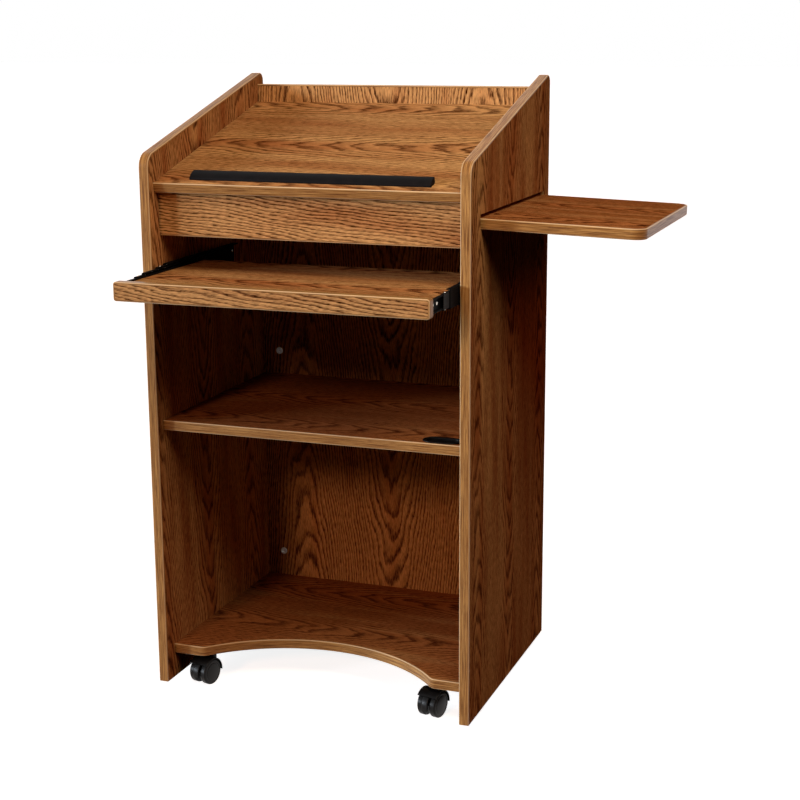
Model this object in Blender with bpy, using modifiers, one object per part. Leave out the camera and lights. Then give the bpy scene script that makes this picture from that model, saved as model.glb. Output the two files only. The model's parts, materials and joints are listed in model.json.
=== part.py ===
"""A floor lectern of laminated board, with its keyboard tray and its side shelf drawn out.

Metres, +Z up. The speaker stands on the -Y side and the audience sits on the +Y side.
Pieces are placed in the cabinet's frame: X = 0 midway between the side panels, Y = 0 at the
side panels' front edges and Z = 0 on the floor. The root empty then moves the whole lectern so
that the origin is on the floor, at the middle of its footprint box.
"""

from math import acos, asin, atan2, cos, hypot, pi, radians, sin, sqrt, tan

import bmesh
import bpy
from mathutils import Vector

# Boards and their fits
BOARD = 0.019  # thickness of the laminated boards
BAND = 0.003  # thickness of the edge bands
BAND_ROUND = 0.002  # rounding of a band's two outer edges
SEAM = 0.0003  # gap between two pieces that touch

# Cabinet
CABINET_WIDTH = 0.635
CABINET_DEPTH = 0.508
CABINET_HEIGHT = 1.168  # to the side panels' rear top corners, before these are rounded
FLOOR_GAP = 0.011  # under the side panels and the audience panel
DESK_TILT = radians(15.1)  # of the reading desk and of the side panels' top edges
SIDE_FRONT_RADIUS = 0.028  # side panels' upper front corner
SIDE_REAR_RADIUS = 0.015  # side panels' upper rear corner
AUDIENCE_INSET = 0.010  # audience panel's outer face, inside the side panels' rear edges
AUDIENCE_DROP = 0.027  # audience panel's top edge, below the side panels' rear top corners

# Reading desk and its book stop
DESK_FRONT = 0.017  # Y of the desk's upper front edge
DESK_RIM = 0.0545  # side panels' top edges above the desk, measured upright
BOOK_STOP_LENGTH = 0.467
BOOK_STOP_WIDTH = 0.024
BOOK_STOP_HEIGHT = 0.0115
BOOK_STOP_SETBACK = 0.020  # from the desk's front edge, along the slope
BOOK_STOP_EDGE_ROUND = 0.0015

# Apron under the desk's front edge
APRON_SETBACK = 0.019  # behind the desk's front edge
APRON_DROP = 0.0985  # its lower edge, below the desk's front edge

# Fixed shelves
MIDDLE_FRONT = 0.021
MIDDLE_TOP = 0.533
BASE_FRONT = 0.031
ARCH_MARGIN = 0.0645  # from a side panel to the arch cut out of the base shelf's front edge
ARCH_DEPTH = 0.108
ARCH_END_RADIUS = 0.020

# Cable slot in the middle shelf, lined with a grommet
SLOT_SIDE_GAP = 0.0145  # from the right side panel
SLOT_FRONT_GAP = 0.011  # from the shelf's front edge
SLOT_LENGTH = 0.062
SLOT_WIDTH = 0.026
GROMMET_WALL = 0.002
GROMMET_FLANGE = 0.005  # how far the flange laps over the board
GROMMET_FLANGE_THICKNESS = 0.002

# Keyboard tray
KEYBOARD_SPACE = 0.066  # between the tray and the apron
TRAY_REACH = 0.149  # fascia's face in front of the side panels' front edges, tray drawn out
TRAY_CLOSED = 0.024  # fascia's face behind those edges, tray pushed in
TRAY_DEPTH = 0.320  # behind the fascia
FASCIA_HEIGHT = 0.0347
FASCIA_LIP = 0.0072  # fascia's top edge above the tray
FASCIA_SIDE_GAP = 0.0034  # between the fascia and each side panel

# Ball-bearing slides, one on each side of the tray: three nested channels of sheet steel
SLIDE_WIDTH = 0.0127  # between a side panel and the tray's edge
SLIDE_HEIGHT = 0.045
SLIDE_LENGTH = 0.300
SLIDE_SHEET = 0.0012
SLIDE_BEND = 0.0016  # outer radius of the channels' bends
SLIDE_LIP = 0.0022  # the flanges' turned-in lips, which keep the balls in
BALL_DIAMETER = 0.0034
BALL_PITCH = 0.0255
BALLS_IN_ROW = 5
CAGE_SHEET = 0.0008
CAGE_END = 0.012  # cage beyond its last ball

# Side shelf, which slides through a slot in the right side panel
SHELF_DROP = 0.0667  # slot's lower edge, below the desk's front edge
SHELF_PLAY = 0.0066  # slack of the shelf in its slot, up and down
SHELF_REACH = 0.2873  # beyond the side panel's outer face
SHELF_TAIL = 0.0195  # shelf behind its stop
SHELF_FRONT_GAP = 0.002  # between the shelf and the apron
SHELF_REAR_GAP = 0.011  # between the shelf and the audience panel
SHELF_CORNER_RADIUS = 0.025
SHELF_SLOT_END_GAP = 0.0015  # slot beyond the shelf's front and rear edges
GUIDE_LENGTH = 0.200
GUIDE_LAP = 0.014  # how far a guide reaches over or under the shelf
GUIDE_HEIGHT = 0.019
STOP_WIDTH = 0.019
STOP_HEIGHT = 0.019

# Casters: twin wheels under a hood that turns on a kingpin
CASTER_SIDE_GAP = 0.062  # from a side panel to the kingpin
CASTER_END_GAP = 0.068  # from the cabinet's front, or from the audience panel, to the kingpin
CASTER_TURN = radians(-13)  # as they stand
CASTER_TRAIL = 0.021  # from the kingpin to the axle
WHEEL_RADIUS = 0.025
WHEEL_WIDTH = 0.0142
WHEEL_EDGE = 0.0025  # rounding of the tread's edges
WHEEL_DOME = 0.0015  # bulge of the wheel's outer face
HOOD_GAP = 0.0012  # between the tread and the hood
HOOD_WALL = 0.0023
HOOD_REAR_ANGLE = radians(-4)  # about the axle, from the kingpin's side upwards
HOOD_FRONT_ANGLE = radians(138)
HOOD_HEADROOM = 0.0037  # between the hood and the plate
WEB_WIDTH = 0.0126  # between the wheels
HUB_RADIUS = 0.0085
AXLE_RADIUS = 0.003
AXLE_SKIN = 0.002  # wheel's outer skin over the end of the axle
PLATE_SIZE = 0.032
PLATE_THICKNESS = 0.0025
PLATE_CORNER = 0.005
KINGPIN_RADIUS = 0.004
KINGPIN_LENGTH = 0.019  # below the plate
SOCKET_WALL = 0.0052  # of the hood's socket, round the kingpin

# Brake levers of the front casters: an arm in a slot of the web, and a curved pad in front
LEVER_WIDTH = 0.0062
LEVER_PIN_RADIUS = 0.0017
LEVER_PIVOT_DEPTH = 0.009  # below the hood's outer surface
LEVER_PIVOT_ANGLE = radians(126)
LEVER_ARM_ANGLE = radians(158)  # where the arm meets the pad
LEVER_HUB = 0.0038  # half the arm's height at its pivot
LEVER_NECK = 0.002  # and where it meets the pad
LEVER_GAP = 0.0005  # between the lever and the hood
PAD_THICKNESS = 0.004
PAD_PROUD = 0.0015  # beyond the hood's outer surface
PAD_END_ANGLE = radians(192)

# Fineness of round forms: straight pieces in each
BAND_STEPS = 2
SMALL_STEPS = 3
CORNER_STEPS = 6
ARC_STEPS = 10
HOOD_STEPS = 16
ARCH_STEPS = 24
PIN_SIDES = 16
ROUND_SIDES = 24

# What follows from these sizes
SIDE_OUT = CABINET_WIDTH / 2
SIDE_IN = SIDE_OUT - BOARD
INNER_HALF = SIDE_IN - SEAM  # half the width of a board that fits between the side panels
AUDIENCE_OUT = CABINET_DEPTH - AUDIENCE_INSET
AUDIENCE_IN = AUDIENCE_OUT - BOARD
AUDIENCE_TOP = CABINET_HEIGHT - AUDIENCE_DROP
BOARD_REAR = AUDIENCE_IN - SEAM  # rear edge of a board that meets the audience panel
DESK_SLOPE = tan(DESK_TILT)
DESK_UPRIGHT = BOARD / cos(DESK_TILT)  # the desk's thickness, measured upright
DESK_FRONT_HEIGHT = CABINET_HEIGHT - (CABINET_DEPTH - DESK_FRONT) * DESK_SLOPE - DESK_RIM
APRON_FACE = DESK_FRONT + APRON_SETBACK
APRON_BOTTOM = DESK_FRONT_HEIGHT - APRON_DROP
TRAY_TOP = APRON_BOTTOM - KEYBOARD_SPACE
TRAY_MIDDLE = TRAY_TOP - BOARD / 2
HOOD_RADIUS = WHEEL_RADIUS + HOOD_GAP + HOOD_WALL
HOOD_WIDTH = WEB_WIDTH + 2 * (WHEEL_WIDTH + SEAM)
PLATE_TOP = WHEEL_RADIUS + HOOD_RADIUS + HOOD_HEADROOM + PLATE_THICKNESS
BASE_UNDERSIDE = PLATE_TOP + SEAM
LEVER_PIVOT_RADIUS = HOOD_RADIUS - LEVER_PIVOT_DEPTH
SHELF_FRONT = APRON_FACE + BOARD + SHELF_FRONT_GAP
SHELF_REAR = AUDIENCE_IN - SHELF_REAR_GAP
SHELF_SLOT_BOTTOM = DESK_FRONT_HEIGHT - SHELF_DROP
SHELF_SLOT_TOP = SHELF_SLOT_BOTTOM + SEAM + BOARD + SHELF_PLAY + SEAM

# The side shelf hangs in the slack of its slot: its underside rests on the slot's outer lower
# edge, and its upper face bears against the inner ends of the upper guides.
SHELF_BEARING = BOARD + GUIDE_LENGTH
SHELF_ROOM = BOARD + SHELF_PLAY
SHELF_DROOP = acos(BOARD / hypot(SHELF_BEARING, SHELF_ROOM)) - atan2(SHELF_BEARING, SHELF_ROOM)
SHELF_INSIDE = SHELF_BEARING + STOP_WIDTH + SHELF_TAIL  # from the panel's face to the inner end

# Finishes: colour, roughness and metallic value
OAK = ((0.30, 0.135, 0.045), 0.45, 0.0)
OAK_EDGE = ((0.47, 0.27, 0.125), 0.45, 0.0)
RAW_BOARD = ((0.45, 0.30, 0.17), 0.8, 0.0)
BLACK_RUBBER = ((0.012, 0.012, 0.012), 0.6, 0.0)
BLACK_PLASTIC = ((0.010, 0.010, 0.011), 0.3, 0.0)
BLACK_STEEL = ((0.02, 0.02, 0.021), 0.35, 0.6)
ZINC = ((0.60, 0.60, 0.58), 0.35, 1.0)

# Turns that stand a flat outline's XY plane up as the YZ plane (its Z to +X) or the XZ plane
UPRIGHT_YZ = (pi / 2, 0, pi / 2)
UPRIGHT_XZ = (pi / 2, 0, 0)

CUT_PAST = 0.010  # how far a cutter runs past the faces that it cuts
WELD = 1e-5  # points nearer than this are one
SHARP_EDGE = radians(35)  # edges that turn more than this stay sharp on round pieces


def clear_scene():
    for old in list(bpy.data.objects):
        bpy.data.objects.remove(old, do_unlink=True)


def new_collection(name):
    found = bpy.data.collections.new(name)
    bpy.context.scene.collection.children.link(found)
    return found


def finish(name, look):
    """The piece's own material, from its colour, roughness and metallic value."""
    colour, roughness, metallic = look
    material = bpy.data.materials.new(name + "_finish")
    material.use_nodes = True
    shader = material.node_tree.nodes["Principled BSDF"]
    shader.inputs["Base Color"].default_value = (*colour, 1)
    shader.inputs["Roughness"].default_value = roughness
    shader.inputs["Metallic"].default_value = metallic
    return material


def add(name, data, look, parent, at=(0, 0, 0), turn=(0, 0, 0)):
    """A piece of the lectern: its shape, its finish and its place under its parent."""
    piece = bpy.data.objects.new(name, data)
    lectern.objects.link(piece)
    piece.parent = parent
    piece.location = at
    piece.rotation_euler = turn
    data.materials.append(finish(name, look))
    return piece


def empty(name, parent, at=(0, 0, 0), turn=(0, 0, 0)):
    joint = bpy.data.objects.new(name, None)
    lectern.objects.link(joint)
    joint.parent = parent
    joint.location = at
    joint.rotation_euler = turn
    joint.empty_display_size = BOARD
    return joint


def cutter(name, data, parent, at=(0, 0, 0), turn=(0, 0, 0)):
    """A helper shape that a Boolean uses. It isn't a piece of the lectern."""
    helper = bpy.data.objects.new(name, data)
    cutters.objects.link(helper)
    helper.parent = parent
    helper.location = at
    helper.rotation_euler = turn
    helper.hide_render = True
    helper.display_type = "WIRE"
    return helper


def boolean(piece, helper, operation="DIFFERENCE"):
    modifier = piece.modifiers.new(helper.name, "BOOLEAN")
    modifier.operation = operation
    modifier.solver = "EXACT"
    modifier.object = helper


def smooth(mesh):
    mesh.shade_smooth()
    mesh.set_sharp_from_angle(angle=SHARP_EDGE)
    return mesh


def box_mesh(name, size):
    mesh = bpy.data.meshes.new(name)
    shape = bmesh.new()
    bmesh.ops.create_cube(shape, size=1)
    bmesh.ops.scale(shape, vec=size, verts=shape.verts)
    shape.to_mesh(mesh)
    shape.free()
    return mesh


def rod_mesh(name, radius, length, sides=ROUND_SIDES):
    """A round bar along Z, centred."""
    mesh = bpy.data.meshes.new(name)
    shape = bmesh.new()
    bmesh.ops.create_cone(
        shape, cap_ends=True, segments=sides, radius1=radius, radius2=radius, depth=length
    )
    shape.to_mesh(mesh)
    shape.free()
    return smooth(mesh)


def middle(low, high):
    return [(a + b) / 2 for a, b in zip(low, high)]


def span(low, high):
    return [b - a for a, b in zip(low, high)]


def add_box(name, low, high, look, parent):
    """A rectangular board or batten between two corners."""
    return add(name, box_mesh(name, span(low, high)), look, parent, middle(low, high))


def arc(centre, radius, start, end, steps):
    """Points round a circle's arc, both ends included."""
    turns = [start + (end - start) * i / steps for i in range(steps + 1)]
    return [(centre[0] + radius * cos(a), centre[1] + radius * sin(a)) for a in turns]


def polar(radius, angle):
    return Vector((radius * cos(angle), radius * sin(angle)))


def rounded(corners, closed=True, steps=CORNER_STEPS):
    """A polyline through the corners (x, y, radius), with an arc at each that has a radius."""
    points = []
    count = len(corners)
    for i, (x, y, radius) in enumerate(corners):
        at_end = not closed and i in (0, count - 1)
        if at_end or radius <= 0:
            points.append((x, y))
            continue
        here = Vector((x, y))
        back = (Vector(corners[i - 1][:2]) - here).normalized()
        ahead = (Vector(corners[(i + 1) % count][:2]) - here).normalized()
        half = back.angle(ahead) / 2
        centre = here + (back + ahead).normalized() * (radius / sin(half))
        start = here + back * (radius / tan(half)) - centre
        sweep = -start.angle_signed(here + ahead * (radius / tan(half)) - centre)
        first = atan2(start.y, start.x)
        points += arc(centre, radius, first, first + sweep, steps)
    return points


def poly_curve(name, points, closed):
    curve = bpy.data.curves.new(name, "CURVE")
    curve.dimensions = "2D"
    spline = curve.splines.new("POLY")
    spline.points.add(len(points) - 1)
    for point, (x, y) in zip(spline.points, points):
        point.co = (x, y, 0, 1)
    spline.use_cyclic_u = closed
    return curve


def flat_outline(name, points, thickness):
    """A flat piece: an outline in XY, with its thickness half above and half below."""
    curve = poly_curve(name, points, True)
    curve.fill_mode = "BOTH"
    curve.extrude = thickness / 2
    return curve


def flat_mesh(name, points, thickness):
    """The same as a closed mesh, for pieces that are cut or joined."""
    curve = flat_outline(name, points, thickness)
    source = bpy.data.objects.new("source", curve)
    bpy.context.scene.collection.objects.link(source)
    graph = bpy.context.evaluated_depsgraph_get()
    mesh = bpy.data.meshes.new_from_object(source.evaluated_get(graph))
    bpy.data.objects.remove(source)
    shape = bmesh.new()
    shape.from_mesh(mesh)
    bmesh.ops.remove_doubles(shape, verts=shape.verts, dist=WELD)
    shape.to_mesh(mesh)
    shape.free()
    mesh.name = name
    return smooth(mesh)


def band_profile(width, out):
    """An edge band's cross-section: flat where it is glued on, rounded on its two outer edges."""
    half = width / 2 * out
    far = BAND * out
    corners = [(0, -half, 0), (0, half, 0), (far, half, BAND_ROUND), (far, -half, BAND_ROUND)]
    curve = poly_curve("band_profile", rounded(corners, steps=BAND_STEPS), True)
    return cutter("band_profile", curve, None)


def edge_band(name, path, width, parent, at, turn=(0, 0, 0), closed=False):
    """A band along a path in XY, outside a closed path or on the right of an open one."""
    curve = poly_curve(name, path, closed)
    curve.fill_mode = "NONE"
    curve.bevel_mode = "OBJECT"
    curve.bevel_object = band_profile(width, -1 if closed else 1)
    curve.use_fill_caps = True
    return add(name, curve, OAK_EDGE, parent, at, turn)


def profile_mesh(name, profile):
    """An open line (radius, z) that a Screw modifier turns about Z. It runs down the outer side."""
    mesh = bpy.data.meshes.new(name)
    shape = bmesh.new()
    points = [shape.verts.new((r, 0, z)) for r, z in profile]
    for a, b in zip(points, points[1:]):
        shape.edges.new((a, b))
    shape.to_mesh(mesh)
    shape.free()
    return mesh


def screw(piece):
    modifier = piece.modifiers.new("turn", "SCREW")
    modifier.steps = ROUND_SIDES
    modifier.render_steps = ROUND_SIDES
    modifier.use_merge_vertices = True
    modifier.merge_threshold = WELD


def side_top(y):
    """Height of the side panels' top edges at Y."""
    return CABINET_HEIGHT - (CABINET_DEPTH - y) * DESK_SLOPE


def side_outline(inset):
    """A side panel's outline in (Y, Z), drawn in from its front, top and rear edges by inset."""
    front, rear = inset, CABINET_DEPTH - inset
    drop = inset / cos(DESK_TILT)
    return [
        (rear, FLOOR_GAP, 0),
        (rear, side_top(rear) - drop, SIDE_REAR_RADIUS - inset),
        (front, side_top(front) - drop, SIDE_FRONT_RADIUS - inset),
        (front, FLOOR_GAP, 0),
    ]


def build_sides(root):
    panels = {}
    for name, side in (("left", -1), ("right", 1)):
        at = (side * (SIDE_OUT + SIDE_IN) / 2, 0, 0)
        core = flat_mesh(name + "_side_panel", rounded(side_outline(BAND + SEAM)), BOARD)
        panels[name] = add(name + "_side_panel", core, OAK, root, at, UPRIGHT_YZ)
        path = rounded(side_outline(BAND), closed=False)
        edge_band(name + "_side_edge_band", path, BOARD, root, at, UPRIGHT_YZ)
    return panels


def build_audience_panel(root):
    low = (-INNER_HALF, AUDIENCE_IN, FLOOR_GAP)
    high = (INNER_HALF, AUDIENCE_OUT, AUDIENCE_TOP - BAND - SEAM)
    add_box("audience_panel", low, high, OAK, root)
    path = [(INNER_HALF, AUDIENCE_TOP - BAND), (-INNER_HALF, AUDIENCE_TOP - BAND)]
    at = (0, (AUDIENCE_IN + AUDIENCE_OUT) / 2, 0)
    edge_band("audience_panel_top_band", path, BOARD, root, at, UPRIGHT_XZ)


def desk_top(y):
    """Height of the desk's upper face at Y."""
    return DESK_FRONT_HEIGHT + (y - DESK_FRONT) * DESK_SLOPE


def desk_point(along, above):
    """(Y, Z) of a point at a distance up the desk's slope from its front edge, and above it."""
    y = DESK_FRONT + along * cos(DESK_TILT) - above * sin(DESK_TILT)
    return (y, DESK_FRONT_HEIGHT + along * sin(DESK_TILT) + above * cos(DESK_TILT))


def build_desk(root):
    outline = [
        desk_point(BAND + SEAM, 0),
        desk_point(BAND + SEAM, -BOARD),
        (BOARD_REAR, desk_top(BOARD_REAR) - DESK_UPRIGHT),
        (BOARD_REAR, desk_top(BOARD_REAR)),
    ]
    board = flat_outline("reading_desk", outline, 2 * INNER_HALF)
    add("reading_desk", board, OAK, root, turn=UPRIGHT_YZ)
    pitch = empty("desk_slope", root, (0, *desk_point(0, 0)), (DESK_TILT, 0, 0))
    path = [(-INNER_HALF, BAND), (INNER_HALF, BAND)]
    edge_band("desk_front_band", path, BOARD, pitch, (0, 0, -BOARD / 2))
    build_book_stop(pitch)


def build_book_stop(pitch):
    """A quarter-round bar: flat underneath, and upright on the uphill side, where the book rests."""
    turns = [pi / 2 * i / ARC_STEPS for i in range(ARC_STEPS + 1)]
    crown = [(BOOK_STOP_WIDTH * (1 - cos(a)), BOOK_STOP_HEIGHT * sin(a)) for a in turns]
    mesh = flat_mesh("book_stop", crown + [(BOOK_STOP_WIDTH, 0)], BOOK_STOP_LENGTH)
    at = (0, BOOK_STOP_SETBACK, SEAM)
    stop = add("book_stop", mesh, BLACK_RUBBER, pitch, at, UPRIGHT_YZ)
    modifier = stop.modifiers.new("edges", "BEVEL")
    modifier.width = BOOK_STOP_EDGE_ROUND
    modifier.segments = BAND_STEPS
    modifier.limit_method = "ANGLE"


def build_apron(root):
    top = desk_top(APRON_FACE) - DESK_UPRIGHT - SEAM
    low = (-INNER_HALF, APRON_FACE, APRON_BOTTOM + BAND + SEAM)
    add_box("apron_panel", low, (INNER_HALF, APRON_FACE + BOARD, top), OAK, root)
    path = [(-INNER_HALF, APRON_BOTTOM + BAND), (INNER_HALF, APRON_BOTTOM + BAND)]
    at = (0, APRON_FACE + BOARD / 2, 0)
    edge_band("apron_bottom_band", path, BOARD, root, at, UPRIGHT_XZ)


def slot_outline(growth):
    """The cable slot's outline, with round ends, grown all round."""
    reach = (SLOT_LENGTH - SLOT_WIDTH) / 2
    radius = SLOT_WIDTH / 2 + growth
    right = arc((reach, 0), radius, -pi / 2, pi / 2, ARC_STEPS)
    return right + arc((-reach, 0), radius, pi / 2, 3 * pi / 2, ARC_STEPS)


def build_middle_shelf(root):
    low = (-INNER_HALF, MIDDLE_FRONT + BAND + SEAM, MIDDLE_TOP - BOARD)
    shelf = add_box("middle_shelf", low, (INNER_HALF, BOARD_REAR, MIDDLE_TOP), OAK, root)
    x = SIDE_IN - SLOT_SIDE_GAP - SLOT_LENGTH / 2
    y = MIDDLE_FRONT + SLOT_FRONT_GAP + SLOT_WIDTH / 2
    z = MIDDLE_TOP - BOARD / 2
    hole = flat_mesh("cable_hole", slot_outline(GROMMET_WALL + SEAM), BOARD + 2 * CUT_PAST)
    boolean(shelf, cutter("cable_hole", hole, root, (x, y, z)))
    path = [(-INNER_HALF, MIDDLE_FRONT + BAND), (INNER_HALF, MIDDLE_FRONT + BAND)]
    edge_band("middle_shelf_band", path, BOARD, root, (0, 0, z))
    build_grommet(root, x, y)


def build_grommet(root, x, y):
    """A black liner: a wall through the shelf and a flange that laps over the shelf's top."""
    bottom = MIDDLE_TOP - BOARD
    seat = MIDDLE_TOP + SEAM
    top = seat + GROMMET_FLANGE_THICKNESS
    wall = flat_mesh("cable_grommet", slot_outline(GROMMET_WALL), top - bottom)
    grommet = add("cable_grommet", wall, BLACK_PLASTIC, root, (x, y, (bottom + top) / 2))
    lap = slot_outline(GROMMET_WALL + GROMMET_FLANGE)
    flange = flat_mesh("grommet_flange", lap, GROMMET_FLANGE_THICKNESS)
    boolean(grommet, cutter("grommet_flange", flange, root, (x, y, (seat + top) / 2)), "UNION")
    bore = flat_mesh("grommet_bore", slot_outline(0), top - bottom + 2 * CUT_PAST)
    boolean(grommet, cutter("grommet_bore", bore, root, (x, y, (bottom + top) / 2)))


def base_front_path(inset):
    """The base shelf's front edge in (X, Y), left to right, with its arch, drawn in by inset."""
    half_span = SIDE_IN - ARCH_MARGIN
    radius = (half_span**2 + ARCH_DEPTH**2) / (2 * ARCH_DEPTH)
    centre = BASE_FRONT + ARCH_DEPTH - radius
    front = BASE_FRONT + inset
    arch = radius + inset
    corner = ARCH_END_RADIUS - inset  # convex corner between the front edge and the arch
    reach = sqrt((arch + corner) ** 2 - (front + corner - centre) ** 2)
    turn = atan2(front + corner - centre, reach)
    left = arc((-reach, front + corner), corner, -pi / 2, -turn, CORNER_STEPS)
    over = arc((0, centre), arch, pi - turn, turn, ARCH_STEPS)
    right = [(-x, y) for x, y in reversed(left)]
    return [(-INNER_HALF, front)] + left + over[1:-1] + right + [(INNER_HALF, front)]


def build_base_shelf(root):
    at = (0, 0, BASE_UNDERSIDE + BOARD / 2)
    outline = base_front_path(BAND + SEAM) + [(INNER_HALF, BOARD_REAR), (-INNER_HALF, BOARD_REAR)]
    add("base_shelf", flat_outline("base_shelf", outline, BOARD), OAK, root, at)
    edge_band("base_shelf_band", base_front_path(BAND), BOARD, root, at)


def fascia_corners(inset):
    """The tray fascia's corners in (X, Z), drawn in from its edges by inset."""
    half = SIDE_IN - FASCIA_SIDE_GAP - inset
    top = TRAY_TOP + FASCIA_LIP - TRAY_MIDDLE
    low, high = top - FASCIA_HEIGHT + inset, top - inset
    corner = BAND - inset + BAND_ROUND
    return [(half, low, corner), (-half, low, corner), (-half, high, corner), (half, high, corner)]


def build_tray(root):
    """The keyboard tray and its fascia, which slide out together."""
    slide = empty("tray_slide", root, (0, -TRAY_REACH, TRAY_MIDDLE))
    half = SIDE_IN - SLIDE_WIDTH - SEAM
    depth = TRAY_DEPTH - SEAM
    board = box_mesh("keyboard_tray", (2 * half, depth, BOARD))
    add("keyboard_tray", board, OAK, slide, (0, BOARD + SEAM + depth / 2, 0))
    at = (0, BOARD / 2, 0)
    outline = rounded(fascia_corners(BAND + SEAM), steps=BAND_STEPS)
    core = flat_outline("tray_fascia", outline, BOARD)
    add("tray_fascia", core, OAK, slide, at, UPRIGHT_XZ)
    path = rounded(fascia_corners(BAND), steps=BAND_STEPS)
    edge_band("tray_fascia_band", path, BOARD, slide, at, UPRIGHT_XZ, closed=True)
    return slide


def channel_section(web, edge, half_height, lip=0):
    """A channel's outer line in (x, z): a web, two flanges out to the edge, and lips inwards."""
    bend = SLIDE_BEND if lip else 0
    corners = [
        (edge, half_height, bend),
        (web, half_height, SLIDE_BEND),
        (web, -half_height, SLIDE_BEND),
        (edge, -half_height, bend),
    ]
    if lip:
        corners = [(edge, half_height - lip, 0)] + corners + [(edge, lip - half_height, 0)]
    line = rounded(corners, closed=False, steps=SMALL_STEPS)
    return line if edge > web else line[::-1]


def channel_mesh(name, section, length):
    """An open sheet: a section (x, z) carried along Y for the length, centred."""
    mesh = bpy.data.meshes.new(name)
    shape = bmesh.new()
    points = [shape.verts.new((x, -length / 2, z)) for x, z in section]
    edges = [shape.edges.new(pair) for pair in zip(points, points[1:])]
    made = bmesh.ops.extrude_edge_only(shape, edges=edges)["geom"]
    moved = [v for v in made if isinstance(v, bmesh.types.BMVert)]
    bmesh.ops.translate(shape, vec=(0, length, 0), verts=moved)
    shape.to_mesh(mesh)
    shape.free()
    return smooth(mesh)


def add_channel(name, section, length, sheet, look, parent, at=(0, 0, 0)):
    """A channel of sheet steel, whose thickness goes inwards from the section's line."""
    piece = add(name, channel_mesh(name, section, length), look, parent, at)
    modifier = piece.modifiers.new("sheet", "SOLIDIFY")
    modifier.thickness = sheet
    modifier.offset = -1
    return piece


def add_member(name, section, parent, at=(0, 0, 0)):
    return add_channel(name, section, SLIDE_LENGTH, SLIDE_SHEET, BLACK_STEEL, parent, at)


def ball_rows(name, x, half_height):
    """The balls of one cage: a row above and a row below, as one mesh of separate balls."""
    mesh = bpy.data.meshes.new(name)
    shape = bmesh.new()
    for i in range(BALLS_IN_ROW):
        y = (i - (BALLS_IN_ROW - 1) / 2) * BALL_PITCH
        for z in (-half_height, half_height):
            ball = bmesh.ops.create_icosphere(shape, subdivisions=1, radius=BALL_DIAMETER / 2)
            bmesh.ops.translate(shape, vec=(x, y, z), verts=ball["verts"])
    shape.to_mesh(mesh)
    shape.free()
    return smooth(mesh)


def add_cage(name, web, edge, race_height, parent):
    """A ball cage: a thin channel that holds its balls in its flanges."""
    length = (BALLS_IN_ROW - 1) * BALL_PITCH + 2 * CAGE_END
    at = (0, (length - SLIDE_LENGTH) / 2 + CAGE_END, 0)
    section = channel_section(web, edge, race_height + CAGE_SHEET / 2)
    cage = add_channel(name, section, length, CAGE_SHEET, ZINC, parent, at)
    balls = ball_rows(name + "_balls", (web + edge) / 2, race_height)
    boolean(cage, cutter(name + "_balls", balls, parent, at), "UNION")


def build_slide(name, side, root, tray):
    """One slide: a cabinet, an intermediate and a tray member, with a ball cage between each two.

    Offsets run from the side panel towards the tray, which is along side in X.
    """
    race = BALL_DIAMETER + 2 * SEAM  # between two members' flanges
    outer = SLIDE_HEIGHT / 2
    between = outer - SLIDE_SHEET - race
    inner = between - SLIDE_SHEET - race

    cabinet_web = side * SEAM
    outer_cage_web = cabinet_web + side * (SLIDE_SHEET + SEAM)
    between_web = outer_cage_web + side * (CAGE_SHEET + SEAM)
    inner_cage_web = between_web + side * (SLIDE_SHEET + SEAM)
    tray_edge = inner_cage_web + side * (CAGE_SHEET + SEAM)
    tray_web = side * (SLIDE_WIDTH - SEAM)
    edge = tray_web - side * (SLIDE_SHEET + SEAM)  # of the cabinet and intermediate members
    cage_edge = edge - side * 2 * SLIDE_SHEET

    wall = -side * SIDE_IN
    closed_middle = TRAY_CLOSED + BOARD + SEAM + SLIDE_LENGTH / 2
    drawn = TRAY_REACH + TRAY_CLOSED
    shares = {"outer_cage": 1 / 4, "intermediate": 1 / 2, "inner_cage": 3 / 4}  # of its travel
    joints = {}
    for label, share in shares.items():
        at = (wall, closed_middle - share * drawn, TRAY_MIDDLE)
        joints[label] = empty(f"{name}_{label}_slide", root, at)

    section = channel_section(cabinet_web, edge, outer, SLIDE_LIP)
    add_member(name + "_slide_cabinet_member", section, root, (wall, closed_middle, TRAY_MIDDLE))
    outer_race = outer - SLIDE_SHEET - race / 2
    cage_name = name + "_outer_ball_cage"
    add_cage(cage_name, outer_cage_web, cage_edge, outer_race, joints["outer_cage"])
    section = channel_section(between_web, edge, between)
    add_member(name + "_slide_intermediate_member", section, joints["intermediate"])
    inner_race = between - SLIDE_SHEET - race / 2
    cage_name = name + "_inner_ball_cage"
    add_cage(cage_name, inner_cage_web, cage_edge, inner_race, joints["inner_cage"])
    section = channel_section(tray_web, tray_edge, inner)
    tray_at = (wall, closed_middle - drawn + TRAY_REACH, 0)
    add_member(name + "_slide_tray_member", section, tray, tray_at)


def shelf_outline(inset):
    """The side shelf's outline in (X, Y) from its slot, drawn in from its banded edges by inset."""
    front, rear, end = SHELF_FRONT + inset, SHELF_REAR - inset, SHELF_REACH - inset
    corner = SHELF_CORNER_RADIUS - inset
    return [
        (-SHELF_INSIDE, front, 0),
        (end, front, corner),
        (end, rear, corner),
        (-SHELF_INSIDE, rear, 0),
    ]


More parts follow.
